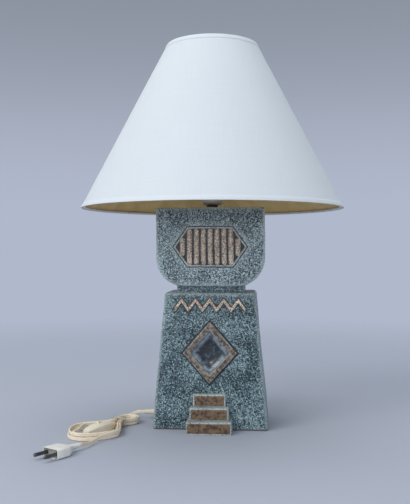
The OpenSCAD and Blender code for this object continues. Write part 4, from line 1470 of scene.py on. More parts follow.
@dataclass
class Plug:
    """Flat two-pin plug with its ribbed sleeve, along X from the shell's rear end."""

    at: Point
    angle: float
    sleeve_l: float
    length: float = 30.0
    width: float = 28.0
    height: float = 13.5
    wall: float = 1.3
    recess: float = 3.4
    shoulder: float = 9.0
    drawn: Point = (5.0, 1.75)
    corner: float = 3.0
    lip_round: float = 0.4
    rear_round: float = 1.2
    sleeve_bore: float = 2.2
    sleeve_r: Point = (3.1, 4.5)
    groove: float = 0.55

    def build(self) -> list[Piece]:
        """Returns the shell and the sleeve."""
        spot = lie(self.at, self.angle)
        return [self.shell(spot), self.sleeve(spot)]

    def shell(self, spot: Matrix) -> Piece:
        """Makes the white shell, open at the front.

        Args:
            spot: place of the plug.

        Returns:
            The shell.
        """
        bm = bmesh.new()
        mid = self.height / 2
        w, h = self.width / 2 - self.drawn[0], mid - self.drawn[1]
        face = face_of(bm, [(0, -w, mid - h), (0, w, mid - h), (0, w, mid + h), (0, -w, mid + h)])
        end = pull(bm, face, (self.shoulder, 0, 0), (1, self.width / 2 / w, mid / h))
        pull(bm, end, (self.length - self.shoulder, 0, 0))
        soften(bm, self.corner, 5, test=lambda m, way: abs(way.x) > 0.7)
        front = max(bm.faces, key=lambda f: f.calc_center_median().x)
        inset(bm, front, self.wall)
        pull(bm, front, (-self.recess, 0, 0))
        soften(bm, self.lip_round, 2, test=lambda m, way: m.x > self.length - 0.1)
        soften(bm, self.rear_round, 3, 25, lambda m, way: m.x < self.shoulder + 0.5 and abs(way.x) < 0.3)
        bmesh.ops.transform(bm, matrix=spot, verts=bm.verts)
        return place("plug_body", bm, WHITE, Body.LAMP, ["plug_shell"])

    def sleeve(self, spot: Matrix) -> Piece:
        """Makes the ribbed sleeve behind the plug.

        Args:
            spot: place of the plug.

        Returns:
            The sleeve.
        """
        bm = bmesh.new()
        ribs = ribbed(*self.sleeve_r, 40, self.groove, 0.1)
        outer = [(r, self.sleeve_l * (share - 1)) for r, share in ribs]
        spin_round(bm, [(self.sleeve_bore, -self.sleeve_l)] + outer + [(self.sleeve_bore, 0.0)], 28)
        stand = Matrix.Translation((0, 0, self.height / 2)) @ Matrix.Rotation(math.pi / 2, 4, "Y")
        bmesh.ops.transform(bm, matrix=spot @ stand, verts=bm.verts)
        return place("plug_sleeve", bm, WHITE, Body.LAMP, ["plug_relief"], SOFT_CREASE)


@dataclass
class Stoneware:
    """Glazed body in two blocks, with relief on the front."""

    foot_half: float = 86.5
    lean: float = 0.093596
    depth: float = 50.0
    foot: Point = (170.0, 97.0)
    foot_h: float = 1.5
    shoulder: float = 203.0
    shoulder_drop: float = 2.4
    corner: float = 4.0
    neck: Place = (101.0, 76.0, 25.0)
    neck_z: float = 207.5
    head: Point = (162.0, 90.0)
    head_low: float = 212.0
    head_top: float = 330.0
    head_round: float = 42.0
    panel: Point = (114.0, 62.0)
    panel_point: float = 22.0
    panel_z: float = 271.0
    panel_drop: float = 2.5
    ground_gap: float = 0.4
    ground_deep: float = 1.0
    ground_proud: float = 0.4
    panel_rim: Place = (1.6, 2.6, 0.8)
    panel_rim_deep: float = 0.5
    panel_rim_proud: float = 2.2
    reeds: int = 11
    reed_r: float = 3.7
    reed_share: Place = (1.05, 0.8, 1.0)
    reed_gap: Point = (3.2, 5.6)
    reed_least: float = 2.0
    reed_net: float = 2.5
    zigzag_w: float = 104.0
    zigzag_z: float = 174.0
    stroke: float = 7.0
    rise: float = 14.0
    teeth: int = 5
    band_round: float = 1.4
    lozenge: Point = (40.0, 46.0)
    lozenge_z: float = 114.0
    recess_gap: float = 1.5
    recess: float = 4.2
    rim: float = 9.0
    rim_round: float = 2.2
    dish_gap: float = 1.0
    dish_proud: float = 1.6
    dish_bands: tuple[Point, ...] = ((2.2, 1.6), (3.0, 1.5), (3.8, 1.1), (4.0, 0.5))
    dish_wall: float = 1.2
    seat: float = 2.0
    proud: float = 4.0
    shadow_proud: float = 0.7
    shadow_grow: Point = (1.3, 2.4)
    steps: int = 3
    step_w: Point = (66.0, -9.0)
    step_front: Point = (-80.0, 10.0)
    step_h: float = 18.0
    step_seat: float = 4.0
    tile_gap: float = 4.4
    tile: Point = (2.4, 14.2)
    tile_set: Point = (0.7, 8.8)
    cell: float = 2.8
    coarse_cell: float = 3.0
    relief_cell: float = 2.6

    def side(self, z: float) -> float:
        """Returns the lower block's half width at a height."""
        return self.foot_half - z * self.lean

    @staticmethod
    def hand_form(bm: Mesh) -> None:
        """Bends all pieces of the body by the same slow field, as hand-built clay is.

        Args:
            bm: shape that is bent.
        """
        size, shift, reach = 75.0, Vector((3.1, 7.7, 1.9)), (1.3, 0.8, 0.7)
        for vert in bm.verts:
            move = noise.noise_vector(vert.co / size + shift)
            hold = ease(vert.co.z / 25)
            vert.co += Vector((move.x * reach[0], move.y * reach[1], move.z * reach[2] * hold))

    def fire(self, name: str, bm: Mesh, finish: Finish) -> None:
        """Bends a piece with the rest of the body and places it."""
        self.hand_form(bm)
        place(name, bm, finish, Body.LAMP, ["stoneware_body"])

    def finish_block(self, name: str, bm: Mesh, finish: Finish, seed: float, cell: float, spread: int = 4,
                     amount: float = 0.45) -> None:
        """Cuts a block into a fine net, marks its edges and makes it hand-formed.

        Args:
            name: name of the piece.
            bm: its shape.
            finish: its glaze.
            seed: shift of its noise.
            cell: size of the net.
            spread: how far the pale edges run in.
            amount: depth of the unevenness.
        """
        for axis in range(3):
            places = [v.co[axis] for v in bm.verts]
            rule(bm, axis, min(places), max(places), cell)
        fade_edges(bm, spread)
        roughen(bm, amount, 9.0, seed)
        roughen(bm, amount * 0.5, 3.2, seed + 5)
        self.fire(name, bm, finish)

    def lozenge_half(self, margin: float) -> Point:
        """Gives the half sizes of the lozenge.

        Args:
            margin: how far its sides are moved out.

        Returns:
            Half its width and half its height.
        """
        x, z = self.lozenge
        share = 1 + margin * math.hypot(x, z) / (x * z)
        return x * share, z * share

    def lozenge_outline(self, margin: float) -> list[Point]:
        """Returns the lozenge's corners with its sides moved out by a margin."""
        x, z = self.lozenge_half(margin)
        return [(a, self.lozenge_z + b) for a, b in ((x, 0), (0, z), (-x, 0), (0, -z))]

    def hexagon(self, margin: float) -> list[Point]:
        """Draws the panel's outline.

        Args:
            margin: how far its sides are drawn in.

        Returns:
            Its corners.
        """
        w, h = self.panel[0] / 2, self.panel[1] / 2
        tip = w - margin * math.hypot(self.panel_point, h) / h
        high = h - margin
        flat = tip - high * self.panel_point / h
        corners = ((tip, 0), (flat, high), (-flat, high), (-tip, 0), (-flat, -high), (flat, -high))
        return [(x, self.panel_z + z) for x, z in corners]

    def zigzag(self, grow: float) -> list[Point]:
        """Draws the outline of the zigzag band.

        Args:
            grow: how far its sides are moved out.

        Returns:
            Its corners.
        """
        pitch = self.zigzag_w / self.teeth / 2
        count = 2 * self.teeth + 1
        stroke = self.stroke / 2 + 1.6 * grow
        spine = [(i * pitch - self.zigzag_w / 2, (i % 2) * self.rise + self.stroke / 2) for i in range(count)]
        spine[0] = (spine[0][0] - grow, spine[0][1] - grow)
        spine[-1] = (spine[-1][0] + grow, spine[-1][1] - grow)
        crest = [(x, self.zigzag_z + z + stroke) for x, z in spine]
        return crest + [(x, self.zigzag_z + z - stroke) for x, z in reversed(spine)]

    @staticmethod
    def plate(outline: Sequence[Point], back: float, front: float, round_off: float = 0.0) -> Mesh:
        """Builds a plate from an outline of width and height.

        Args:
            outline: corners.
            back: depth of its back face.
            front: depth of its front face.
            round_off: round of its front edges.

        Returns:
            The plate.
        """
        bm = bmesh.new()
        face = face_of(bm, [(x, back, z) for x, z in outline])
        pull(bm, face, (0, front - back, 0))
        if round_off:
            soften(bm, round_off, 3, 40, lambda m, w: abs(m.y - front) < SNAP)
        return bm

    @staticmethod
    def border(outline: Sequence[Point], band: float, back: float, front: float, round_off: float,
               segments: int) -> Mesh:
        """Builds an open frame from an outline of width and height.

        Args:
            outline: outer corners.
            band: width of the frame.
            back: depth of its back face.
            front: depth of its front face.
            round_off: round of its front edges.
            segments: faces across the round.

        Returns:
            The frame.
        """
        bm = bmesh.new()
        face = face_of(bm, [(x, back, z) for x, z in outline])
        inset(bm, face, band)
        bmesh.ops.delete(bm, geom=[face], context="FACES_ONLY")
        extrude(bm, list(bm.faces), (0, front - back, 0))
        soften(bm, round_off, segments, test=lambda m, w: m.y < front + SNAP)
        return bm

    def lower_block(self) -> None:
        """Builds the tapered lower block with the lozenge's recess."""
        bm = bmesh.new()
        low, d, z, drop = self.side(self.foot_h), self.depth, self.foot_h, self.shoulder_drop
        face = face_of(bm, [(-low, -d, z), (low, -d, z), (low, d, z), (-low, d, z)])
        knee = self.shoulder - drop
        top = pull(bm, face, (0, 0, knee - z), (self.side(knee) / low, 1, 1))
        end_x = (self.side(self.shoulder) - drop) / self.side(knee)
        pull(bm, top, (0, 0, drop), (end_x, 1 - drop / d, 1))
        soften(bm, self.corner, 5, 30, lambda m, w: abs(w.z) > 0.5)
        soften(bm, 0.9, 3, 30, lambda m, w: m.z > knee - 1 and abs(w.z) < 0.2)
        soften(bm, 1.0, 2, 60, lambda m, w: m.z < z + 0.1)
        dip = [Vector((a, -d, b)) for a, b in self.lozenge_outline(self.recess_gap - self.rim)]
        sink(bm, dip, -DEEP, self.recess)
        self.finish_block("lower_block", bm, GLAZE, 1.0, self.cell)

    def neck_block(self) -> None:
        """Builds the waist between the blocks."""
        bm = bmesh.new()
        add_block(bm, self.neck, (0, 0, self.neck_z))
        soften(bm, self.corner, 4, test=upright)
        self.finish_block("neck_block", bm, GLAZE, 7.0, self.coarse_cell)

    def head_block(self) -> None:
        """Builds the upper block with round lower corners and the panel's recess."""
        bm = bmesh.new()
        low, top = self.head_low, self.head_top
        add_block(bm, (*self.head, top - low), (0, 0, (top + low) / 2))
        soften(bm, self.head_round, 18, test=lambda m, w: abs(w.y) > 0.9 and m.z < low + 1)
        soften(bm, self.corner, 5)
        sink(bm, [Vector((x, -self.head[1] / 2, z)) for x, z in self.hexagon(0)], -DEEP, self.panel_drop)
        # The head takes the paler glaze of painted light.
        self.finish_block("head_block", bm, LIT_HEAD_GLAZE, 13.0, self.cell)

    def panel_pieces(self) -> None:
        """Builds the reeded panel in the head, on a near-black ground that paints the shade between the
        reeds.
        """
        floor = self.panel_drop - self.head[1] / 2
        # The ground is painted shade in the recess behind the reeds.
        ground = self.plate(self.hexagon(self.ground_gap), floor + self.ground_deep,
                            floor - self.ground_proud)
        self.finish_block("panel_ground", ground, PAINTED_SHADOW_GLAZE, 19.0, self.coarse_cell, 1, 0.2)
        gap, band, round_off = self.panel_rim
        rim = self.border(self.hexagon(gap), band, floor + self.panel_rim_deep, floor - self.panel_rim_proud,
                          round_off, 3)
        self.finish_block("panel_rim", rim, ASH_GLAZE, 23.0, self.coarse_cell, 2, 0.2)
        self.reed_bars(floor)

    def reed_bars(self, floor: float) -> None:
        """Builds the round reeds, paler along their crests.

        Args:
            floor: depth of the panel's ground.
        """
        bars = bmesh.new()
        pitch = self.panel[0] / self.reeds
        w, h = self.panel[0] / 2, self.panel[1] / 2
        for i in range(self.reeds):
            x = (i + 0.5) * pitch - w
            reach = min(1.0, (w - self.reed_gap[0] - abs(x)) / self.panel_point) * h - self.reed_gap[1]
            if reach < self.reed_least:
                continue
            made = bmesh.ops.create_uvsphere(bars, u_segments=18, v_segments=12, radius=self.reed_r)["verts"]
            for vert in made:
                if abs(vert.co.z) > SNAP:
                    vert.co.z += math.copysign(reach - self.reed_least, vert.co.z)
            bmesh.ops.scale(bars, vec=self.reed_share, verts=made)
            bmesh.ops.translate(bars, vec=(x, floor, self.panel_z), verts=made)
        rule(bars, 2, self.panel_z - h, self.panel_z + h, self.reed_net)
        mark_wear_and_highlight(bars, lambda v: 0.8 * max(0.0, -v.normal.y) ** 6)
        roughen(bars, 0.25, 4.0, 29.0)
        self.fire("panel_reeds", bars, BUFF_GLAZE)

    def relief(self) -> None:
        """Builds the zigzag band, the lozenge boss and their dark outlines, which paint the shadow that they
        cast.
        """
        face = -self.depth
        back = face + self.seat
        band_grow, rim_grow = self.shadow_grow
        shade = self.plate(self.zigzag(band_grow), back, face - self.shadow_proud, 0.3)
        self.finish_block("zigzag_shadow", shade, PAINTED_SHADOW_GLAZE, 31.0, self.coarse_cell, 1, 0.15)
        band = self.plate(self.zigzag(0), back, face - self.proud, self.band_round)
        self.finish_block("zigzag_band", band, BUFF_GLAZE, 37.0, self.relief_cell, 1, 0.3)
        for name, grow, proud, finish, seed, amount in (
            ("lozenge_shadow", rim_grow, self.shadow_proud, PAINTED_SHADOW_GLAZE, 41.0, 0.1),
            ("lozenge_rim", 0.0, self.proud, RIM_GLAZE, 43.0, 0.3),
        ):
            bm = self.border(self.lozenge_outline(grow), self.rim + grow, back, face - proud,
                             min(self.rim_round, proud / 2), 4)
            self.finish_block(name, bm, finish, seed, self.relief_cell, 1, amount)

    def dish(self) -> None:
        """Builds the glossy dish inside the lozenge's rim, with a pale ring of painted highlight near its
        edge.
        """
        bm = bmesh.new()
        margin = self.dish_gap - self.rim
        half_x, half_z = self.lozenge_half(margin)
        front = -self.depth - self.dish_proud
        inner = face_of(bm, [(x, front, z) for x, z in self.lozenge_outline(margin)])
        for band, drop in self.dish_bands:
            inset(bm, inner, band)
            bmesh.ops.translate(bm, vec=(0, drop, 0), verts=list(inner.verts))
        bm.normal_update()
        bmesh.ops.recalc_face_normals(bm, faces=bm.faces)
        if sum(f.normal.y for f in bm.faces) > 0:
            bmesh.ops.reverse_faces(bm, faces=bm.faces)
        bmesh.ops.subdivide_edges(bm, edges=bm.edges, cuts=3, use_grid_fill=True, smooth=0.0)
        for _ in range(8):
            bmesh.ops.smooth_vert(bm, verts=[v for v in bm.verts if not v.is_boundary], factor=0.5,
                                  use_axis_x=True, use_axis_y=True, use_axis_z=True)
        bmesh.ops.solidify(bm, geom=list(bm.faces), thickness=self.dish_wall)

        def painted_highlight_ring(vert: Vert) -> float:
            """Returns the share of the painted highlight ring at a vertex."""
            reach = abs(vert.co.x) / half_x + abs(vert.co.z - self.lozenge_z) / half_z
            return ease((reach - 0.62) / 0.24) * (1 - 0.6 * ease((reach - 0.88) / 0.1))

        mark_wear_and_highlight(bm, painted_highlight_ring)
        roughen(bm, 0.2, 5.0, 47.0)
        self.fire("lozenge_dish", bm, DEEP_GLAZE)

    def plinth(self) -> None:
        """Builds the stepped plinth with its bronze fronts."""
        steps, tiles = bmesh.new(), bmesh.new()
        back = self.step_seat - self.depth
        for i in range(self.steps):
            width, front = (start + change * i for start, change in (self.step_w, self.step_front))
            low = self.step_h * i
            add_block(steps, (width, back - front, self.step_h),
                      (0, (front + back) / 2, low + self.step_h / 2))
            add_block(tiles, (width - self.tile_gap, *self.tile),
                      (0, front + self.tile_set[0], low + self.tile_set[1]))
        soften(steps, 1.8, 3, test=lambda m, w: m.z > 0.1)
        self.finish_block("plinth_steps", steps, ASH_GLAZE, 53.0, self.coarse_cell, 1, 0.3)
        soften(tiles, 0.5, 2)
        self.finish_block("plinth_fronts", tiles, BRONZE_GLAZE, 59.0, self.coarse_cell, 1, 0.15)

    def bare_foot(self) -> None:
        """Builds the bare clay foot."""
        bm = bmesh.new()
        height = self.foot_h + 1
        add_block(bm, (*self.foot, height), (0, 0, height / 2))
        soften(bm, self.corner, 4, test=upright)
        soften(bm, 0.6, 2, 60, lambda m, w: m.z < 0.1)
        place("bare_foot", bm, BARE_CLAY, Body.LAMP, ["stoneware_body"])

    def build(self) -> None:
        """Makes all the pieces of the body."""
        self.lower_block()
        self.neck_block()
        self.head_block()
        self.panel_pieces()
        self.relief()
        self.dish()
        self.plinth()
        self.bare_foot()


@dataclass
class Outlet:
    """Moulded flex outlet low on the left side."""

    at: Place = (-84.377, 15.0, 12.0)
    flange: Point = (7.5, 3.0)
    shank: Point = (5.3, 6.0)
    relief: float = 20.0
    wall: Point = (1.6, 0.6)
    groove: float = 0.45
    bore: float = 2.8

    def build(self) -> None:
        """Makes the flange with its ribbed strain relief."""
        bm = bmesh.new()
        r, t = self.flange
        shank_r, shank_l = self.shank
        profile = [(self.bore, -shank_l), (shank_r, -shank_l), (shank_r, -0.2), (r, 0.0), (r, t - 0.9),
                   (r - 0.35, t - 0.3), (r - 1, t)]
        ribs = ribbed(*(self.bore + wall for wall in self.wall), 36, self.groove, 0.08)
        profile += [(rib, t + 0.05 + self.relief * share) for rib, share in ribs]
        spin_round(bm, profile + [(self.bore, t + self.relief)], 32)
        spot = Matrix.Translation(self.at) @ Matrix.Rotation(-math.pi / 2, 4, "Y")
        bmesh.ops.transform(bm, matrix=spot, verts=bm.verts)
        place("flex_outlet", bm, CREAM, Body.LAMP, ["cord_grommet"], SOFT_CREASE)


@dataclass
class Holder:
    """Lampholder, its ring nut and the wire carrier of the shade."""

    low: float = 336.0
    cap_top: float = 354.0
    cap_r: float = 17.0
    cap_wall: float = 1.8
    cap_floor: float = 2.5
    entry_r: float = 5.2
    bowl: float = 7.0
    grips: int = 3
    grip_z: float = 9.0
    grip_pitch: float = 2.4
    grip_cut: float = 0.35
    spigot: Point = (1.9, 4.0)
    skirt_bore: Point = (14.0, 14.55)
    skirt_seat: float = 360.0
    collar: Place = (22.5, 364.0, 367.0)
    thread_r: float = 19.6
    thread_cut: tuple[float, ...] = (0.0, 0.25, 0.7, 0.25)
    thread_points: int = 24
    top: float = 390.0
    nut_bore: float = 19.75
    nut_r: float = 26.0
    nut_h: float = 6.0
    scallops: int = 18
    scallop_share: float = 0.55
    scallop_dip: float = 2.0
    carrier: float = 367.0
    gallery: float = 532.0
    sheet: float = 1.6
    carrier_r: Point = (19.9, 31.2)
    gallery_r: Place = (10.0, 14.0, 20.0)
    gallery_h: float = 8.0
    wire_r: float = 1.6
    arm: tuple[Point, ...] = ((29.6, 0.05), (38.0, 0.15), (42.0, 0.3), (42.0, 0.6), (35.0, 0.8), (20.0, 0.95))
    arm_ends: tuple[Point, Point] = ((28.6, 0.8), (14.0, 0.4))

    def build(self) -> None:
        """Makes the cap, the skirt, the ring nut and the carrier."""
        self.cap()
        self.skirt()
        self.ring_nut()
        self.carrier_frame()

    def cap(self) -> None:
        """Builds the round-edged cap with grip lines near its top."""
        bm = bmesh.new()
        r, low, bowl = self.cap_r, self.low, self.bowl
        turns = [math.radians(10 * i) for i in range(10)]
        profile = [(r - bowl + bowl * math.sin(a), low + bowl - bowl * math.cos(a)) for a in turns]
        for k in range(self.grips):
            z, cut = low + self.grip_z + self.grip_pitch * k, r - self.grip_cut
            profile += [(r, z), (cut, z + 0.25), (cut, z + 0.75), (r, z + 1.0)]
        inside, floor = r - self.cap_wall, low + self.cap_floor
        profile += [(r, self.cap_top), (inside, self.cap_top), (inside, low + 7.5), (r - 3.4, low + 4),
                    (r - bowl, floor), (self.entry_r, floor), (self.entry_r, low)]
        spin_round(bm, profile, 64)
        place("holder_cap_shell", bm, HOLDER, Body.LAMP, ["holder_cap"])

    def skirt(self) -> None:
        """Builds the skirt with its collar and thread."""
        bm = bmesh.new()
        radius, low, high = self.collar
        spigot_r, spigot_low = self.cap_r - self.spigot[0], self.cap_top - self.spigot[1]
        narrow, wide = self.skirt_bore
        profile = [(spigot_r, spigot_low), (spigot_r, self.cap_top), (self.cap_r, self.cap_top + 0.1),
                   (self.cap_r, low), (radius - 0.5, low), (radius, low + 0.5), (radius, high - 0.5),
                   (radius - 0.5, high)]
        for i in range(self.thread_points):
            z = high + 0.2 + (self.top - high - 0.6) * i / (self.thread_points - 1)
            profile.append((self.thread_r - self.thread_cut[i % len(self.thread_cut)], z))
        profile += [(wide, self.top), (wide, self.skirt_seat + 0.1), (narrow, self.skirt_seat),
                    (narrow, spigot_low)]
        spin_round(bm, profile, 64)
        place("holder_skirt_shell", bm, HOLDER, Body.LAMP, ["holder_skirt"])

    def ring_nut(self) -> None:
        """Builds the scalloped ring nut."""
        bm = bmesh.new()
        low = self.carrier + self.sheet
        high, r = low + self.nut_h, self.nut_r
        spin_round(bm, [(self.nut_bore, low), (r - 0.6, low), (r, low + 0.6), (r, low + 3), (r, high - 0.9),
                        (r - 0.9, high), (self.nut_bore, high)], 180)
        for vert in bm.verts:
            if math.hypot(vert.co.x, vert.co.y) > r - self.scallop_dip:
                wave = math.cos(self.scallops * math.atan2(vert.co.y, vert.co.x))
                draw_in(vert, max(0.0, wave - self.scallop_share) * self.scallop_dip)
        place("holder_ring_nut", bm, HOLDER, Body.LAMP, ["shade_ring"])

    def carrier_frame(self) -> None:
        """Builds the two-armed carrier with its gallery."""
        bm = bmesh.new()
        rise = self.gallery - self.carrier
        bore, r = self.carrier_r
        z, top = self.carrier, self.carrier + self.sheet
        spin_round(bm, [(bore, z), (r - 0.2, z), (r, z + 0.3), (r, top - 0.3), (r - 0.2, top),
                        (bore, top)], 64)
        (low_x, low_z), (high_x, high_z) = self.arm_ends
        places = [(low_x, low_z / rise), *self.arm, (high_x, 1 + high_z / rise)]
        for side in (1, -1):
            arm = [Vector((side * x, 0, self.carrier + share * rise)) for x, share in places]
            sweep(bm, rounded_path(arm, 8), circle(self.wire_r, 14), DEEP)
        bore, neck, r = self.gallery_r
        z, top, end = self.gallery, self.gallery + self.sheet, self.gallery + self.gallery_h
        spin_round(bm, [(bore, z), (r - 0.3, z), (r, z + 0.3), (r, top - 0.3), (r - 0.3, top),
                        (neck + 0.3, top), (neck, top + 0.3), (neck, end - 0.6), (neck - 0.4, end),
                        (bore + 0.4, end), (bore, end - 0.4)], 64)
        place("carrier_frame", bm, BRASS, Body.LAMP, ["shade_carrier"], SOFT_CREASE)


@dataclass
class Bulb:
    """Globe bulb with a screw cap."""

    cap_r: float = 13.1
    cap_bore: float = 12.65
    cap_hole: float = 4.0
    cap_floor: float = 0.9
    cap_low: float = 370.0
    cap_high: float = 391.0
    cap_points: int = 60
    lead: float = 3.63
    thread_dip: float = 0.42
    nose_dip: float = 0.5
    globe_r: float = 30.0
    globe_z: float = 432.7
    globe_low: float = -50.0
    globe_step: float = 4.0
    globe_points: int = 35
    neck_r: float = 12.3
    neck_low: float = 378.0
    neck_top: float = 394.0
    neck_pull: float = 0.4
    neck_points: int = 12
    wall: float = 0.9

    def build(self) -> None:
        """Makes the threaded cap and the glass."""
        self.cap()
        self.glass()

    def cap(self) -> None:
        """Builds the rolled thread as a true helix."""
        bm = bmesh.new()
        height, floor = self.cap_high - self.cap_low, self.cap_low + self.cap_floor
        heights = [self.cap_low + height * i / self.cap_points for i in range(self.cap_points + 1)]
        profile = [(self.cap_r, z) for z in heights]
        profile += [(self.cap_bore, self.cap_high), (self.cap_bore, floor), (self.cap_hole, floor),
                    (self.cap_hole, self.cap_low)]
        spin_round(bm, profile, 64)
        for vert in bm.verts:
            if math.hypot(vert.co.x, vert.co.y) > self.cap_r - SNAP:
                z = vert.co.z - self.cap_low
                turn = math.atan2(vert.co.y, vert.co.x)
                full = self.thread_dip * ease(z / 2) * ease((height - z) / 5)
                wave = 1 - math.sin(math.tau * z / self.lead - turn)
                draw_in(vert, full * wave + self.nose_dip * (1 - ease(z / 1.2)))
        place("bulb_thread", bm, BULB_SHELL, Body.BULB, ["bulb_cap"], SOFT_CREASE)

    def profile(self, margin: float) -> list[Point]:
        """Draws half the glass's outline.

        Args:
            margin: how far it is drawn in.

        Returns:
            Its points from the neck to the pole.
        """
        r, n, low = self.globe_r - margin, self.neck_r - margin, math.radians(self.globe_low)
        join = Vector((r * math.cos(low), self.globe_z + r * math.sin(low)))
        lean = Vector((-math.sin(low), math.cos(low)))
        reach = (join.y - self.neck_top) * self.neck_pull
        corners = [Vector((n, self.neck_top)), Vector((n, self.neck_top + reach)), join - reach * lean, join]
        points = [(n, self.neck_low)]
        points += [tuple(bezier(corners, i / self.neck_points)) for i in range(self.neck_points)]
        for i in range(self.globe_points):
            q = math.radians(self.globe_low + self.globe_step * i)
            points.append((r * math.cos(q), self.globe_z + r * math.sin(q)))
        return points + [(0.0, self.globe_z + r)]

    def glass(self) -> None:
        """Builds the frosted glass with its inner wall."""
        bm = bmesh.new()
        outer = self.profile(0)
        spin_round(bm, outer + self.profile(self.wall)[::-1], 64, gap=len(outer) - 1)
        place("bulb_globe", bm, FROSTED, Body.BULB, ["bulb_glass"], SMOOTH_CREASE)


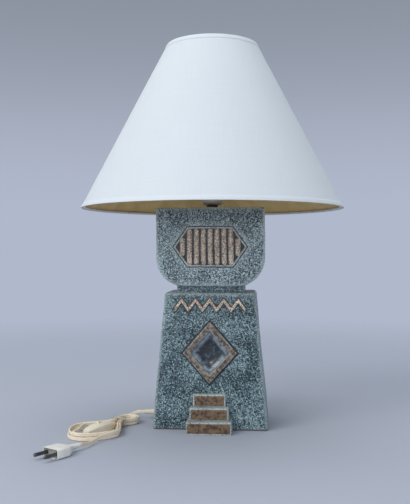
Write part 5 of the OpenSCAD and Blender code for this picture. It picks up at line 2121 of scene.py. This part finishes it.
@dataclass
class Shade:
    """Cone shade of laminated cloth with a foil lining and rolled rims.

    The cut and its area are those of the flat cloth, in metres.
    """

    low: float = 330.0
    high: float = 580.0
    low_r: float = 200.0
    lean: float = 0.52
    cloth: float = 0.8
    lining: float = 0.6
    gap: float = 0.05
    hem: float = 6.0
    hem_points: int = 8
    hem_turn: float = 2.2
    lap: Point = (9.0, 0.7)
    lap_net: float = 8.0
    wave: float = 0.5
    wave_hold: float = 40.0
    steps: int = 160
    rows: int = 40
    cut: Point = (0.861, 0.415)
    cut_area: float = 0.239

    def radius(self, z: float) -> float:
        """Returns the outer radius at a height."""
        return self.low_r - (z - self.low) * self.lean

    @property
    def slant(self) -> float:
        """Length along the cone for a unit of height."""
        return math.hypot(1, self.lean)

    def waver(self, bm: Mesh) -> None:
        """Gives all layers the same slight waviness of hand-glued cloth.

        Args:
            bm: layer that is moved.
        """
        for vert in bm.verts:
            turn, z = math.atan2(vert.co.y, vert.co.x), vert.co.z
            spot = Vector((math.cos(turn) * 2.4, math.sin(turn) * 2.4, z / 120))
            hold = ease((z - self.low) / self.wave_hold) * ease((self.high - z) / self.wave_hold)
            draw_in(vert, -self.wave * noise.noise(spot) * hold)

    def flat_layout(self, bm: Mesh) -> None:
        """Lays the cone out flat as the map of the weave, with the join at the back.

        Args:
            bm: layer that is laid out.
        """
        layer = bm.loops.layers.uv.new("flat_cloth")
        apex = self.low + self.low_r / self.lean
        narrow = self.lean / self.slant
        for face in bm.faces:
            middle = face.calc_center_median()
            around = math.atan2(middle.x, -middle.y)
            for loop in face.loops:
                turn = math.atan2(loop.vert.co.x, -loop.vert.co.y)
                if abs(turn - around) > math.pi:
                    turn += math.copysign(math.tau, around)
                reach = (apex - loop.vert.co.z) * self.slant * MM
                loop[layer].uv = (reach * math.sin(turn * narrow), reach * math.cos(turn * narrow))

    def cone(self, outer: float, inner: float) -> Mesh:
        """Builds a layer between two distances from the outer cone.

        Args:
            outer: distance of its outside.
            inner: distance of its inside.

        Returns:
            The layer.
        """
        bm = bmesh.new()
        heights = [self.low + (self.high - self.low) * i / self.rows for i in range(self.rows + 1)]
        profile = [(self.radius(z) - outer * self.slant, z) for z in heights]
        profile += [(self.radius(z) - inner * self.slant, z) for z in reversed(heights)]
        spin_round(bm, profile, self.steps)
        self.waver(bm)
        return bm

    def rolled_rim(self, rim: float, inner: float) -> Mesh:
        """Builds a band folded over a rim.

        Args:
            rim: height of the rim.
            inner: height of the band's inner end.

        Returns:
            The rim.
        """
        way = 1 if rim > inner else -1
        outside = self.radius(rim)
        inside = outside - (self.cloth + self.lining + self.gap) * self.slant
        profile = []
        for i in range(self.hem_points + 1):
            z = inner + (rim - inner) * i / self.hem_points
            swell = 0.30 + 0.35 * math.sin(math.pi * (i + 0.4) / (self.hem_points + 0.6))
            profile.append((self.radius(z) + self.slant * swell, z))
        fold = [(outside + 0.35, 0.30), (outside - 0.5, 0.5), (inside + 0.4, 0.45), (inside - 0.1, 0.1),
                (inside - 0.2, -self.hem_turn), (inside + 0.25, -self.hem_turn), (inside + 0.3, 0.05),
                (outside + 0.06, 0.05)]
        profile += [(r, rim + way * out) for r, out in fold]
        bm = bmesh.new()
        spin_round(bm, profile + [(self.radius(inner) + 0.06, inner)], self.steps)
        self.flat_layout(bm)
        return bm

    def seam(self) -> Mesh:
        """Builds the lap of the cloth's join at the back.

        Returns:
            The lap.
        """
        bm = bmesh.new()
        length = (self.high - self.low - 2 * self.hem) * self.slant
        add_block(bm, (*self.lap, length), (0, 0, 0))
        soften(bm, 0.2, 2)
        rule(bm, 2, -length / 2, length / 2, self.lap_net)
        middle = (self.low + self.high) / 2
        tilt = Matrix.Rotation(math.atan(self.lean), 4, "X")
        spot = Matrix.Translation((0, self.radius(middle) + 0.1, middle))
        bmesh.ops.transform(bm, matrix=spot @ tilt, verts=bm.verts)
        self.flat_layout(bm)
        return bm

    def build(self) -> None:
        """Makes the cloth, the lining, the rims and the join."""
        cover = self.cone(0.0, self.cloth)
        self.flat_layout(cover)
        cloth = place("shade_cloth", cover, CLOTH, Body.SHADE, ["shade_cover"], SMOOTH_CREASE)
        inner = self.cone(self.cloth + self.gap, self.cloth + self.gap + self.lining)
        place("shade_foil", inner, LINING, Body.SHADE, ["shade_lining"], SMOOTH_CREASE)
        top = place("shade_top_rim", self.rolled_rim(self.high, self.high - self.hem), HEM_CLOTH, Body.SHADE,
                    ["shade_top_trim"], SMOOTH_CREASE)
        bottom = place("shade_bottom_rim", self.rolled_rim(self.low, self.low + self.hem), HEM_CLOTH,
                       Body.SHADE, ["shade_bottom_trim"], SMOOTH_CREASE)
        lap = place("shade_join", self.seam(), CLOTH, Body.SHADE)


def dress_nodes() -> None:
    """Gives every CAD node the finish of its slot, and the parts under the holder's cap the dark brass of
    painted shade.
    """
    for part in frame["record"]["subparts"]:
        node = frame["nodes"][part["node"]]
        node.data.materials.clear()
        finish = SHADOWED_BRASS if part["node"] in SHADOWED_NODES else FINISH_OF_SLOT[part["material_slot"]]
        node.data.materials.append(finish.material())


def main() -> None:
    """Builds the lamp's pieces in order."""
    logging.basicConfig(level=logging.INFO, format="%(message)s")
    bpy.context.scene.view_settings.view_transform = "Standard"
    # Without a seed the slow bend of the clay would change on each run
    noise.seed_set(CLAY_SEED)
    view = View()
    view.camera()
    dress_nodes()
    for part in (Flex(), Stoneware(), Outlet(), Holder(), Bulb(), Shade()):
        part.build()
    view.lights()
    view.backdrop()


if __name__ == "__main__":
    main()
